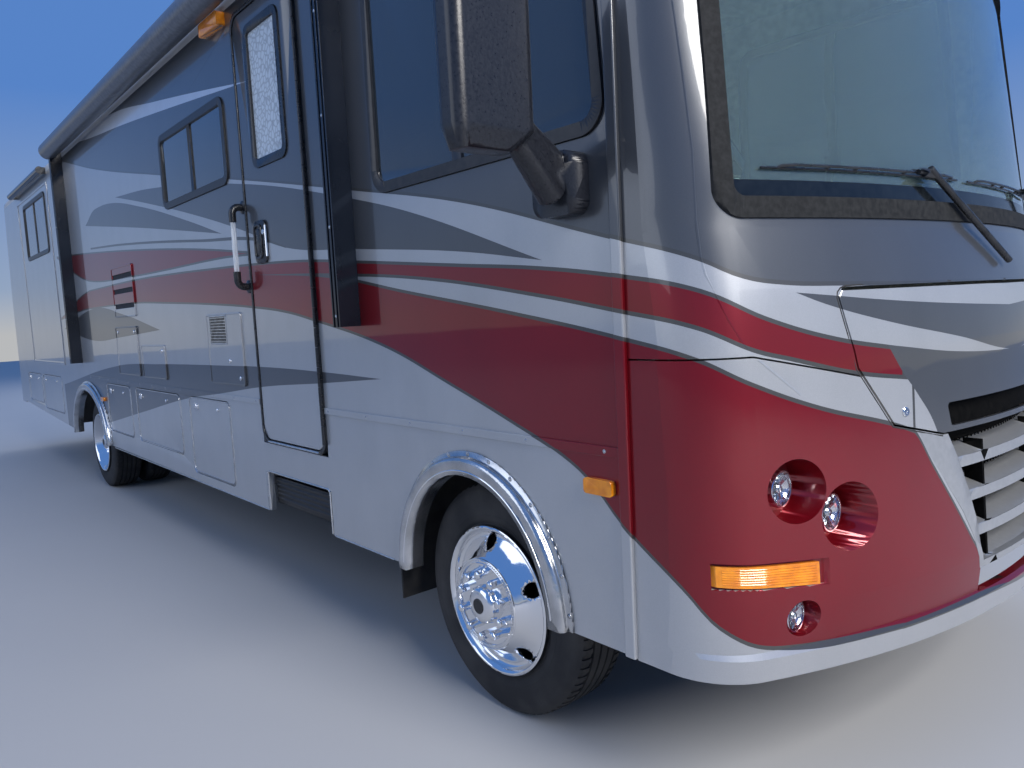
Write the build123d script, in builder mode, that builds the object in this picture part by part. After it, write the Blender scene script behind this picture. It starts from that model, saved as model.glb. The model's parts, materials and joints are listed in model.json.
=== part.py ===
from build123d import *
import math
import os

# A motorhome on a petrol chassis: twin rear wheels, two slide-outs, storage bays in the basement.
# +X is forward, +Y is left, +Z is up, and Z = 0 is the ground. Stations are measured from the front
# axle, forward positive, and at() turns one into X, so that X = 0 is the middle of the whole length.

nose_reach = 1310
tail_reach = 9880
front_axle_x = (tail_reach - nose_reach) / 2
wheelbase = 5791

half_width = 1295
skirt_bottom = 455
belt_z = 1045
floor_z = 1060
wall_head = 3050
wall_top = 3130
roof_crown = 3290
wall_thick = 38
skirt_thick = 26
panel_gap = 5

front_seam = 712
rear_seam = -9420

tyre_r = 423
tyre_outer_y = 1235
dual_spacing = 285
kingpin_y = 905
steer_arm = 190

arch_half = 410
arch_rise = 441
front_arch_shift = -30
rear_arch_half = 620
rear_arch_rise = 470
rear_arch_shift = -20

door_x0, door_x1 = -1831, -1104
door_z0, door_z1 = 827, 3000
door_rim = 26
door_thick = 42

slide_right = (-8480, -6760)
slide_left = (-4300, -1150)
slide_z = (1150, 2960)
slide_depth = 560

os.makedirs("parts", exist_ok=True)


def at(station):
    return front_axle_x + station


def save(name, label):
    name.part.label = label
    export_step(name.part, "parts/" + label + ".step")


# A plate parallel to the vehicle's side, between two stations, two heights and two Y values.
def side_plate(stations, heights, depths, corner=0.0, mode=Mode.ADD):
    middle = (at(sum(stations) / 2), sum(heights) / 2)
    length = stations[1] - stations[0]
    height = heights[1] - heights[0]
    with BuildSketch(Plane.XZ.offset(-max(depths))) as outline:
        with Locations(middle):
            if corner:
                RectangleRounded(length, height, corner)
            else:
                Rectangle(length, height)
    extrude(outline.sketch, amount=abs(depths[1] - depths[0]), mode=mode)


# A block between two stations, two Y values and two heights.
def block(stations, depths, heights, mode=Mode.ADD):
    side_plate(stations, heights, depths, mode=mode)


# A solid of a closed outline of (station, height) points, straight-sided, between two Y values.
def side_prism(points, depths, mode=Mode.ADD, round_off=0.0):
    with BuildSketch(Plane.XZ.offset(-max(depths))) as outline:
        with BuildLine():
            Polyline(*[(at(x), z) for x, z in points], close=True)
        make_face()
        if round_off:
            fillet(outline.vertices(), round_off)
    extrude(outline.sketch, amount=abs(depths[1] - depths[0]), mode=mode)


# A solid of a closed outline of (y, height) points, seen from the front, between two stations.
def front_prism(points, stations, mode=Mode.ADD, round_off=0.0):
    with BuildSketch(Plane.YZ.offset(at(min(stations)))) as outline:
        with BuildLine():
            Polyline(*points, close=True)
        make_face()
        if round_off:
            fillet(outline.vertices(), round_off)
    extrude(outline.sketch, amount=abs(stations[1] - stations[0]), mode=mode)


# A round bar along Y, at a station and a height.
def bar_across(station, height, radius, depths, mode=Mode.ADD):
    with BuildSketch(Plane.XZ.offset(-max(depths))) as outline:
        with Locations((at(station), height)):
            Circle(radius)
    extrude(outline.sketch, amount=abs(depths[1] - depths[0]), mode=mode)


# A round bar along Z, at a station and a Y value.
def bar_up(station, y, radius, heights, mode=Mode.ADD):
    with BuildSketch(Plane.XY.offset(min(heights))) as outline:
        with Locations((at(station), y)):
            Circle(radius)
    extrude(outline.sketch, amount=abs(heights[1] - heights[0]), mode=mode)


# A round bar along X, at a Y value and a height.
def bar_along(y, height, radius, stations, mode=Mode.ADD):
    with BuildSketch(Plane.YZ.offset(at(min(stations)))) as outline:
        with Locations((y, height)):
            Circle(radius)
    extrude(outline.sketch, amount=abs(stations[1] - stations[0]), mode=mode)


# A round strut between two points given as (station, y, height).
def strut(start, end, radius):
    foot = Vector(at(start[0]), start[1], start[2])
    head = Vector(at(end[0]), end[1], end[2])
    with BuildSketch(Plane(foot, z_dir=head - foot)) as section:
        Circle(radius)
    extrude(section.sketch, amount=(head - foot).length)


# Height of the skirt's lower edge: nearly level to the rear arch, then rising to the tail.
overhang_start = -6200
overhang_rise = 0.0445
skirt_climb = 17


def skirt_edge(station):
    share = min(1.0, (front_seam - station) / (front_seam - overhang_start))
    return skirt_bottom + skirt_climb * share + max(0.0, overhang_start - station) * overhang_rise


# Plan sections of the nose: height, reach at the middle, bow of the front, corner radius. The lip
# of the bumper stands out at 515, and the crease of the lamp panel is at 640.
nose_table = (
    (450, 1300, 334, 230),
    (515, nose_reach, 334, 230),
    (527, 1292, 334, 230),
    (640, 1304, 334, 230),
    (1304, 1260, 310, 220),
    (1480, 1230, 290, 215),
    (1640, 1182, 265, 205),
    (2760, 1030, 250, 90),
    (3310, 1000, 235, 72),
)
mask_sections = nose_table[:6]
cap_sections = nose_table[3:]
hood_sections = nose_table[3:6]
glass_sections = nose_table[5:8]


# One plan outline of the nose at a height, made smaller all round by inset, back to a station.
def nose_outline(height, reach, bow, corner, inset, back):
    radius = (half_width**2 + bow**2) / (2 * bow) - inset
    tip = reach - inset
    side = half_width - inset
    edge = tip - radius + math.sqrt(radius**2 - side**2)
    with BuildSketch(Plane.XY.offset(height)) as outline:
        with BuildLine():
            Line((at(back), -side), (at(edge), -side))
            ThreePointArc((at(edge), -side), (at(tip), 0), (at(edge), side))
            Polyline((at(edge), side), (at(back), side), (at(back), -side))
        make_face()
        fillet(outline.vertices().group_by(Axis.X)[-1], corner - inset)
    return outline.sketch


# The nose as a solid through the plan sections given.
def nose_solid(sections, inset, back, mode=Mode.ADD):
    outlines = [nose_outline(*section, inset, back) for section in sections]
    return loft(outlines, ruled=True, mode=mode)


# A slice of the nose between two heights, with an inset of its own at each.
def nose_slice(heights, insets, back, mode=Mode.ADD):
    outlines = []
    for height, inset in zip(heights, insets):
        for low, high in zip(nose_table, nose_table[1:]):
            if low[0] <= height <= high[0]:
                part = (height - low[0]) / (high[0] - low[0])
                shape = [a + part * (b - a) for a, b in zip(low[1:], high[1:])]
        outlines.append(nose_outline(height, *shape, inset, back))
    return loft(outlines, ruled=True, mode=mode)


# Crowned section of the roof, lowered all round by inset, down to a height, between two stations.
def crown_solid(inset, low, stations, mode=Mode.ADD):
    side = half_width - inset
    edge_round = 75 - inset
    with BuildSketch(Plane.YZ.offset(at(min(stations)))) as outline:
        with BuildLine():
            Polyline((-side, wall_top - inset), (-side, low), (side, low), (side, wall_top - inset))
            ThreePointArc(
                (side, wall_top - inset), (0, roof_crown - inset), (-side, wall_top - inset)
            )
        make_face()
        fillet(outline.vertices().group_by(Axis.Y)[-1], edge_round)
    extrude(outline.sketch, amount=abs(stations[1] - stations[0]), mode=mode)


# Everything under the brow's rounded profile, lowered by inset, seen from the side.
def brow_solid(inset, mode=Mode.INTERSECT):
    top = roof_crown + 1 - inset
    face = 1046 - inset
    with BuildSketch(Plane.XZ.offset(-half_width - 10)) as outline:
        with BuildLine():
            Polyline(
                (at(500), top), (at(500), 1100), (at(1400), 1100), (at(1400), 1700), (at(face), 2790)
            )
            ThreePointArc((at(face), 2790), (at(975 - inset), 3110 - inset), (at(700 - inset), top))
            Line((at(700 - inset), top), (at(500), top))
        make_face()
    extrude(outline.sketch, amount=2 * half_width + 20, mode=mode)


# Outlines seen from the front, as (y, height), left half first: the hood, the grille opening with
# its bottom frame, the silver border's inner edge, and the windshield with its seal.
hood_half = ((836, 1476), (866, 1476), (884, 1448), (845, 1252), (724, 1083), (514, 1033))
grille_half = ((648, 1100), (590, 994), (534, 919), (437, 791), (386, 703), (352, 600))
border_half = ((505, 1060), (449, 962), (401, 857), (366, 760), (350, 671), (334, 622))
glass_half = ((1213, 1664), (1160, 2700))
gap_half = ((347, 604), (347, 524))
split_half = ((1400, 1308), (1160, 1308), (838, 1233))
nose_span = (850, 1400)


def both_sides(half):
    return [(y, z) for y, z in half] + [(-y, z) for y, z in reversed(half)]


def shrunk(half, inset):
    mid_z = (half[0][1] + half[-1][1]) / 2
    return [(y - inset, z - inset if z > mid_z else z + inset) for y, z in half]


step_stations = (-1803, -1105)
step_heights = (458, 670)

# Chassis frame: two channel rails.
rail_y = 432
rail_low, rail_high = 560, 790
rail_flange = 76
rail_web = 9
rail_front, rail_back = 1060, -9650
with BuildPart() as chassis_frame:
    for side in (-1, 1):
        y_web = (side * rail_y, side * (rail_y - rail_web))
        y_flange = (side * rail_y, side * (rail_y - rail_flange))
        block((rail_back, rail_front), y_web, (rail_low, rail_high))
        for low in (rail_low, rail_high - rail_web):
            block((rail_back, rail_front), y_flange, (low, low + rail_web))
save(chassis_frame, "chassis_frame")

# Cross members between the rails, tank straps, and the outriggers that carry the entry step.
member_stations = (1020, -900, -2300, -3700, -5000, -6700, -7400, -8300, -9300)
member_half, member_low, member_high = 40, 600, 750
strap_stations = (-4560, -4120)
strap_half, strap_low = 20, 775
with BuildPart() as cross_members:
    inner = (-rail_y + rail_web, rail_y - rail_web)
    for station in member_stations:
        block((station - member_half, station + member_half), inner, (member_low, member_high))
    for station in strap_stations:
        block((station - strap_half, station + strap_half), inner, (strap_low, rail_high - rail_web))
    for station in (step_stations[0] - 14, step_stations[1] + 14):
        block((station - 10, station + 10), (-1180, -rail_y), (member_low, 700))
save(cross_members, "cross_members")

# Leaf springs: three leaves on one centre, hung from brackets on the rails. Leaf: half length, low.
spring_y, spring_width = 480, 76
leaf_table = ((760, 522), (590, 510), (420, 498))
leaf_thick = 14
leaf_radius = 4700
bracket_half = 40
with BuildPart() as leaf_springs:
    for axle in (0, -wheelbase):
        for side in (-1, 1):
            near = side * (spring_y - spring_width / 2)
            far = side * (spring_y + spring_width / 2)
            for half, low in leaf_table:
                lower = leaf_radius + leaf_table[0][1] - low
                upper = lower - leaf_thick
                centre = low + lower
                rise_low = centre - math.sqrt(lower**2 - half**2)
                rise_high = centre - math.sqrt(upper**2 - half**2)
                with BuildSketch(Plane.XZ.offset(-max(near, far))) as leaf:
                    with BuildLine():
                        ends = (at(axle - half), at(axle + half))
                        ThreePointArc((ends[0], rise_low), (at(axle), low), (ends[1], rise_low))
                        Line((ends[1], rise_low), (ends[1], rise_high))
                        ThreePointArc(
                            (ends[1], rise_high), (at(axle), low + leaf_thick), (ends[0], rise_high)
                        )
                        Line((ends[0], rise_high), (ends[0], rise_low))
                    make_face()
                extrude(leaf.sketch, amount=spring_width)
            for end in (axle - leaf_table[0][0], axle + leaf_table[0][0]):
                block((end - bracket_half, end + bracket_half), (side * rail_y, far), (550, 700))
save(leaf_springs, "leaf_springs")

# Towing receiver: a square socket on a cross beam under the tail, with a hole for its pin.
receiver_outer = 76
socket = 51
receiver_z = 500
receiver_back = -tail_reach
pin_hole_r = 8
pin_set_back = 65
beam_station = -9560
beam_half = 38
with BuildPart() as hitch_receiver:
    block((receiver_back, beam_station), (-receiver_outer / 2, receiver_outer / 2),
          (receiver_z - receiver_outer / 2, receiver_z + receiver_outer / 2))
    block((receiver_back, beam_station - 60), (-socket / 2, socket / 2),
          (receiver_z - socket / 2, receiver_z + socket / 2), mode=Mode.SUBTRACT)
    bar_across(receiver_back + pin_set_back, receiver_z, pin_hole_r, (-60, 60), mode=Mode.SUBTRACT)
    block((beam_station, beam_station + 70), (-460, 460),
          (receiver_z - beam_half, receiver_z + beam_half))
    for side in (-1, 1):
        block((beam_station, beam_station + 70), (side * rail_y, side * 460), (receiver_z, 640))
save(hitch_receiver, "hitch_receiver")

# Front axle: a dropped beam that ends in round eyes for the kingpins, with the spring seats on it.
eye_r, eye_low, eye_high = 50, 380, 466
pin_bore_r = 24
seat_y = (442, 518)
with BuildPart() as front_axle:
    with BuildSketch(Plane.YZ.offset(at(-45))) as beam:
        with BuildLine():
            Polyline(
                (-kingpin_y, eye_low), (-kingpin_y, eye_high), (-720, eye_high), (-600, 400),
                (600, 400), (720, eye_high), (kingpin_y, eye_high), (kingpin_y, eye_low),
                (740, eye_low), (620, 300), (-620, 300), (-740, eye_low), close=True,
            )
        make_face()
    extrude(beam.sketch, amount=90)
    for side in (-1, 1):
        bar_up(0, side * kingpin_y, eye_r, (eye_low, eye_high))
        bar_up(0, side * kingpin_y, pin_bore_r, (eye_low - 10, eye_high + 10), mode=Mode.SUBTRACT)
        block((-70, 70), (side * seat_y[0], side * seat_y[1]), (400, leaf_table[-1][1]))
save(front_axle, "front_axle")

# Rear axle: a tube housing with its round gear case, the spring seats and the propeller shaft.
axle_end_y = 1023
case_r, case_half = 205, 160
gearbox_back = -560
with BuildPart() as rear_axle:
    bar_across(-wheelbase, tyre_r, 66, (-690, 690))
    bar_across(-wheelbase, tyre_r, 52, (-axle_end_y, axle_end_y))
    bar_across(-wheelbase, tyre_r, case_r, (-case_half, case_half))
    bar_across(-wheelbase, tyre_r, 150, (-case_half - 40, case_half + 40))
    for side in (-1, 1):
        block((-wheelbase - 80, -wheelbase + 80), (side * seat_y[0], side * seat_y[1]),
              (440, leaf_table[-1][1]))
    bar_along(0, tyre_r + 30, 45, (-wheelbase + 150, gearbox_back))
    bar_along(0, tyre_r + 30, 75, (-wheelbase + 150, -wheelbase + 250))
save(rear_axle, "rear_axle")

# Engine as one plain mass between the rails, with its gearbox behind and the radiator ahead of it.
with BuildPart() as engine_block:
    block((160, 960), (-300, 300), (560, 985))
    side_prism(
        ((160, 440), (160, 860), (-150, 720), (gearbox_back, 560), (gearbox_back, 400)), (-170, 170)
    )
    block((520, 580), (-rail_y + rail_web, rail_y - rail_web), (650, 710))
    block((1000, 1060), (-345, 345), (750, 985))
save(engine_block, "engine_block")

# Fuel tank between the rails ahead of the rear axle, silencer and tail pipe behind it.
pipe_y, pipe_z = -250, 500
pipe_outer, pipe_inner = 38, 34
with BuildPart() as fuel_and_exhaust:
    side_plate((-4900, -3800), (535, strap_low), (-350, 350), corner=60)
    with BuildSketch(Plane.YZ.offset(at(-7900))) as silencer:
        with Locations((pipe_y, pipe_z)):
            Ellipse(130, 75)
    extrude(silencer.sketch, amount=900)
    block((-7420, -7380), (pipe_y - 12, pipe_y + 12), (560, member_low))
    bar_along(pipe_y, pipe_z, pipe_outer, (-9480, -7900))
    bar_along(pipe_y, pipe_z, pipe_inner, (-9480, -7900), mode=Mode.SUBTRACT)
    block((-9320, -9280), (pipe_y - 12, pipe_y + 12), (537, member_low))
save(fuel_and_exhaust, "fuel_and_exhaust")

# Floor of the living space: a sandwich deck on the basement, narrower than the skirts.
deck_front = 940
deck_low = 1000
deck_edge = half_width - wall_thick - 2
well_x = (door_x0 - 6, door_x1 + 6)
well_y = (-half_width + 62, -880)
well_low = 812
well_wall = 15
with BuildPart() as floor_deck:
    block((rear_seam + 40, front_seam - 40), (-deck_edge, deck_edge), (deck_low, floor_z))
    block((front_seam - 40, deck_front), (-1060, 1060), (deck_low, floor_z))
    block(well_x, (-deck_edge, well_y[1]), (deck_low, floor_z), mode=Mode.SUBTRACT)
save(floor_deck, "floor_deck")

# Entry well: a tray under the deck with the inner step of the entrance.
with BuildPart() as entry_well:
    block((well_x[0] - well_wall, well_x[1] + well_wall), (well_y[0], well_y[1] + well_wall),
          (well_low, deck_low))
    block(well_x, (well_y[0] - 10, well_y[1]), (well_low + well_wall, deck_low + 1), mode=Mode.SUBTRACT)
save(entry_well, "entry_well")

# Storage doors: name, stations, heights. The right side is the kerb side.
storage_right = (
    ("storage_door_right_1", (-2998, -2290), (518, 1016)),
    ("storage_door_right_2", (-4230, -3186), (607, 1016)),
    ("storage_door_right_3", (-5120, -4391), (607, 1016)),
    ("storage_door_right_4", (-8062, -7019), (612, 1004)),
    ("storage_door_right_5", (-9022, -8150), (660, 1000)),
)
storage_left = (
    ("storage_door_left_1", (-3300, -1300), (520, 1016)),
    ("storage_door_left_2", (-8500, -7000), (650, 1004)),
)
storage_corner = 45
bay_inner_y = 560
sheet = 12

# Storage bays: trays of five sheets each, a hair apart at their riveted corners, hung under the deck
# behind the doors and open towards the sides. Columns: side, then back, front and low of each tray.
sheet_gap = 0.5
bay_table = (
    ("storage_bays_right", -1, ((-5180, -2240, 500), (-9060, -6990, 600))),
    ("storage_bays_left", 1, ((-5180, -1250, 500), (-9060, -6960, 600))),
)
for label, side, spans in bay_table:
    with BuildPart() as storage_bays:
        outer_y = side * (half_width - skirt_thick - 4)
        inner_y = side * bay_inner_y
        for back, front, low in spans:
            walls = (low + sheet + sheet_gap, deck_low - sheet - sheet_gap)
            block((back, front), (outer_y, inner_y), (low, low + sheet))
            block((back, front), (outer_y, inner_y), (deck_low - sheet, deck_low))
            block((back, front), (inner_y, inner_y + side * sheet), walls)
            for end in ((back, back + sheet), (front - sheet, front)):
                block(end, (outer_y, inner_y + side * (sheet + sheet_gap)), walls)
    save(storage_bays, label)

# Window units: stations and heights of each opening, its corner radius and its divider station.
front_window = ((-548, 672), (1928, 2900), 90)
front_window_lean = 74
middle_window = ((-3125, -2005), (2205, 2668), 70)
rear_window = ((-8150, -6900), (2283, 2900), 70)
left_window = ((-2900, -1900), (2205, 2700), 70)
door_window = ((-1671, -1275), (2216, 2900), 60)
frame_bar = 42
frame_proud = 9


# Outline of the cab's side window, whose front edge leans back towards the top, as a prism.
def cab_window(inset, depths, mode=Mode.ADD):
    (back, front), (low, high), corner = front_window
    outline = (
        (back + inset, low + inset), (back + inset, high - inset),
        (front - front_window_lean - inset, high - inset), (front - inset, low + inset),
    )
    side_prism(outline, depths, mode, corner - inset)


# Laminated side walls above the belt, with the windows, the entrance and the slide-outs cut out.
with BuildPart() as side_walls:
    for side in (-1, 1):
        depths = (side * half_width, side * (half_width - wall_thick))
        through = (side * (half_width + 20), side * (half_width - wall_thick - 20))
        block((rear_seam, front_seam), depths, (belt_z, wall_head))
        cab_window(0, through, Mode.SUBTRACT)
        if side < 0:
            side_plate(middle_window[0], middle_window[1], through, middle_window[2], Mode.SUBTRACT)
            side_plate((door_x0, door_x1), (door_z0, door_z1), through, 90, Mode.SUBTRACT)
            side_plate(slide_right, slide_z, through, 12, Mode.SUBTRACT)
        else:
            side_plate(slide_left, slide_z, through, 12, Mode.SUBTRACT)
            side_plate(rear_window[0], rear_window[1], through, rear_window[2], Mode.SUBTRACT)
save(side_walls, "side_walls")

# Wheel arches: station of the middle, half width, rise above the skirt's lower edge.
arch_table = (
    (front_arch_shift, arch_half, arch_rise),
    (rear_arch_shift - wheelbase, rear_arch_half, rear_arch_rise),
)

# Lower skirts, from the belt down, with the arches, the storage doors and the step cut out.
with BuildPart() as skirts:
    for side in (-1, 1):
        depths = (side * half_width, side * (half_width - skirt_thick))
        through = (side * (half_width + 20), side * (half_width - skirt_thick - 20))
        side_prism(
            (
                (front_seam, skirt_bottom), (front_seam, belt_z), (rear_seam, belt_z),
                (rear_seam, skirt_edge(rear_seam)), (overhang_start, skirt_edge(overhang_start)),
            ),
            depths,
        )
        for station, half, rise in arch_table:
            with BuildSketch(Plane.XZ.offset(-max(through))) as arch:
                with Locations((at(station), skirt_bottom)):
                    Ellipse(half, rise)
            extrude(arch.sketch, amount=abs(through[1] - through[0]), mode=Mode.SUBTRACT)
        for label, stations, heights in storage_right if side < 0 else storage_left:
            side_plate(stations, heights, through, storage_corner, Mode.SUBTRACT)
        if side < 0:
            side_plate((door_x0, door_x1), (door_z0, door_z0 + 400), through, 0, Mode.SUBTRACT)
            block(step_stations, through, (step_heights[0] - 60, step_heights[1]), Mode.SUBTRACT)
save(skirts, "skirts")


# An elliptical ring round an arch, between two growths of the opening and two Y values.
def arch_ring(arch, growths, depths):
    station, half, rise = arch
    base = skirt_edge(station)
    with BuildSketch(Plane.XZ.offset(-max(depths))) as ring:
        with Locations((at(station), skirt_bottom)):
            Ellipse(half + growths[1], rise + growths[1])
            Ellipse(half + growths[0], rise + growths[0], mode=Mode.SUBTRACT)
        with Locations((at(station), base - 700)):
            Rectangle(2400, 1400, mode=Mode.SUBTRACT)
    return extrude(ring.sketch, amount=abs(depths[1] - depths[0]))


# Wheel arch flares: a flat bright face, rolled down to a screwed flange, with a lip turned inwards.
flare_width, flare_face = 78, 60
flare_proud, flange_proud = 38, 8
flare_roll = 20
lip_thick, lip_depth = 4, 45
with BuildPart() as arch_flares:
    for side in (-1, 1):
        face_y = side * (half_width + flare_proud)
        flange_y = side * (half_width + flange_proud)
        lip_y = side * (half_width - lip_depth)
        for arch in arch_table:
            with BuildPart(mode=Mode.PRIVATE) as face_ring:
                arch_ring(arch, (-lip_thick, flare_face), (face_y, side * half_width))
                outer = face_ring.faces().sort_by(Axis.Y)[0 if side < 0 else -1]
                rims = outer.edges().filter_by(GeomType.ELLIPSE).sort_by(SortBy.LENGTH)
                fillet(rims[-1], flare_roll)
            add(face_ring.part)
            arch_ring(arch, (0, flare_width), (flange_y, side * half_width))
            arch_ring(arch, (-lip_thick, 0), (side * half_width, lip_y))
save(arch_flares, "arch_flares")

# Arch liners: inner fenders over the wheels, wide in front for the steering, and the mud flaps.
liner_sheet = 5
liner_inner_y = 640
liner_outer_y = half_width - lip_depth - 1
front_liner_half, front_liner_top = 580, 930
liner_low, liner_knee = 620, 800
flap_table = ((-588, -580), (1264, 960), (285, 700))
with BuildPart() as arch_liners:
    for side in (-1, 1):
        depths = (side * liner_outer_y, side * liner_inner_y)
        hollow = (side * (liner_outer_y + 10), side * (liner_inner_y + liner_sheet))
        for inset, span, mode in ((0, depths, Mode.ADD), (liner_sheet, hollow, Mode.SUBTRACT)):
            half = front_liner_half - inset
            top = front_liner_top - inset
            side_prism(
                (
                    (-half, liner_low - 2 * inset), (-half, liner_knee), (-half + 130, top),
                    (half - 130, top), (half, liner_knee), (half, liner_low - 2 * inset),
                ),
                span, mode,
            )
        with BuildPart(mode=Mode.PRIVATE) as tunnel:
            arch_ring(arch_table[1], (4, 4 + liner_sheet), depths)
            block((-7000, -4500), (side * 1400, side * 500), (300, 560), mode=Mode.SUBTRACT)
        add(tunnel.part)
        block(flap_table[0], [side * y for y in flap_table[1]], flap_table[2])
save(arch_liners, "arch_liners")

# Crowned roof between the end caps.
roof_thick = 55
with BuildPart() as roof:
    crown_solid(0, wall_head, (rear_seam, front_seam))
    crown_solid(roof_thick, wall_head - 200, (rear_seam - 20, front_seam + 20), mode=Mode.SUBTRACT)
save(roof, "roof")

# Rear cap: a moulded end wall with rounded corners that leans forward towards the roof.
tail_table = ((600, -9800, 130), (1900, -9760, 130), (3310, -9560, 110))
cap_wall = 32
tail_low = 300


def tail_solid(inset, front, mode=Mode.ADD):
    outlines = []
    for height, reach, corner in tail_table:
        side = half_width - inset
        back = reach + inset
        with BuildSketch(Plane.XY.offset(height)) as outline:
            with BuildLine():
                Polyline(
                    (at(front), -side), (at(back), -side), (at(back), side), (at(front), side),
                    close=True,
                )
            make_face()
            fillet(outline.vertices().group_by(Axis.X)[0], corner - inset)
        outlines.append(outline.sketch)
    return loft(outlines, ruled=True, mode=mode)


with BuildPart() as rear_cap:
    with BuildPart(mode=Mode.PRIVATE) as tail_space:
        tail_solid(cap_wall, rear_seam + 30)
        crown_solid(cap_wall, tail_low, (-9900, rear_seam + 30), mode=Mode.INTERSECT)
    tail_solid(0, rear_seam)
    crown_solid(0, tail_low, (-9900, rear_seam), mode=Mode.INTERSECT)
    add(tail_space.part, mode=Mode.SUBTRACT)
save(rear_cap, "rear_cap")

# Upper front cap: pillars, brow and cowl in one moulding, with the windshield and hood cut out.
mask_wall = 26
seam_back = (front_seam - 60, 1400)
cap_low = 1100
with BuildPart() as front_cap:
    with BuildPart(mode=Mode.PRIVATE) as cab_space:
        nose_solid(cap_sections, mask_wall, front_seam - 40)
        crown_solid(mask_wall, cap_low, (front_seam - 40, 1400), mode=Mode.INTERSECT)
        brow_solid(mask_wall)
    nose_solid(cap_sections, 0, front_seam)
    crown_solid(0, cap_low, (front_seam, 1400), mode=Mode.INTERSECT)
    brow_solid(0)
    add(cab_space.part, mode=Mode.SUBTRACT)
    seam = [(y, z + panel_gap / 2) for y, z in both_sides(split_half)]
    front_prism(seam + [(-1400, cap_low - 100), (1400, cap_low - 100)], seam_back, Mode.SUBTRACT)
    front_prism(both_sides(glass_half), seam_back, Mode.SUBTRACT, round_off=70)
    front_prism(both_sides(hood_half), nose_span, Mode.SUBTRACT)
save(front_cap, "front_cap")

# Headlamps, right side: y, height, mouth of the well, lamp radius, well floor and lamp face stations.
lamp_table = ((1056, 947, 86, 52, 1000, 1028), (896, 858, 94, 56, 1050, 1084))
fog_lamp = (1053, 604, 50, 45, 1038, 1062)
lamp_cup = 4
# Turn signals: outlines of the recess and the lens, as (y, height), and their depths in the panel.
signal_recess = ((1264, 777), (974, 757), (974, 685), (1264, 706))
signal_lens = ((1256, 768), (1003, 751), (1003, 690), (1256, 713))
signal_floor, signal_face = 16, 2


# A band of the lamp panel between two insets, inside an outline seen from the front.
def panel_band(points, insets, side, mode=Mode.ADD):
    with BuildPart(mode=Mode.PRIVATE) as band:
        nose_solid(mask_sections, insets[0], front_seam)
        nose_solid(mask_sections, insets[1], front_seam - 40, mode=Mode.SUBTRACT)
        front_prism([(side * y, z) for y, z in points], nose_span, Mode.INTERSECT)
    add(band.part, mode=mode)


# Lower front mask: bumper and lamp panel with its lamp wells, open at the grille and the hood.
with BuildPart() as front_mask:
    nose_solid(mask_sections, 0, front_seam)
    nose_solid(mask_sections, mask_wall, front_seam - 40, mode=Mode.SUBTRACT)
    seam = [(y, z - panel_gap / 2) for y, z in both_sides(split_half)]
    front_prism(seam + [(-1400, 1600), (1400, 1600)], seam_back, Mode.SUBTRACT)
    front_prism(both_sides(hood_half), nose_span, Mode.SUBTRACT)
    front_prism(both_sides(grille_half), nose_span, Mode.SUBTRACT)
    front_prism(both_sides(gap_half), nose_span, Mode.SUBTRACT)
    for side in (-1, 1):
        for y, z, mouth, lamp, floor_x, face_x in (*lamp_table, fog_lamp):
            with BuildPart(mode=Mode.PRIVATE) as well:
                bar_along(side * y, z, mouth + lamp_cup, (floor_x - lamp_cup, 1400))
                nose_solid(mask_sections, 0, front_seam, mode=Mode.INTERSECT)
            add(well.part)
        for y, z, mouth, lamp, floor_x, face_x in (*lamp_table, fog_lamp):
            bar_along(side * y, z, mouth, (floor_x, 1400), mode=Mode.SUBTRACT)
        panel_band(signal_recess, (-5, signal_floor), side, Mode.SUBTRACT)
save(front_mask, "front_mask")

# Hood: a thin moulded panel under the windshield, with an air slot, that lifts at its top edge.
hood_wall = 10
hood_top_gap = 10
slot_half = ((484, 1124), (468, 1054))
with BuildPart() as hood:
    nose_solid(hood_sections, 0, front_seam)
    nose_solid(hood_sections, hood_wall, front_seam - 40, mode=Mode.SUBTRACT)
    front_prism(both_sides(shrunk(hood_half, panel_gap)), nose_span, Mode.INTERSECT)
    block(nose_span, (-half_width, half_width), (hood_half[0][1] - hood_top_gap, 1500),
          mode=Mode.SUBTRACT)
    front_prism(both_sides(slot_half), nose_span, Mode.SUBTRACT, round_off=12)
save(hood, "hood")

# Grille: a silver wedge border flush with the mask, three louvres and a sill, on two uprights.
# Each louvre is a sheet that slopes up and back from an upright lip, and follows the nose.
border_depth = 22
louvre_heights = (950, 841, 728)
sill_height = 618
louvre_lip = 30
louvre_front, louvre_depth, louvre_rise = 12, 72, 24
louvre_sheet = 6
upright_y, upright_thick = 256, 12


def louvre_sheet_solid(height):
    back = front_seam
    slope = (louvre_front, louvre_front + louvre_depth)
    under = height - louvre_sheet
    nose_slice((height, height + louvre_rise), slope, back)
    nose_slice((under, under + 2 * louvre_rise), (slope[0], slope[0] + 2 * louvre_depth), back - 40,
               Mode.SUBTRACT)


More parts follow.
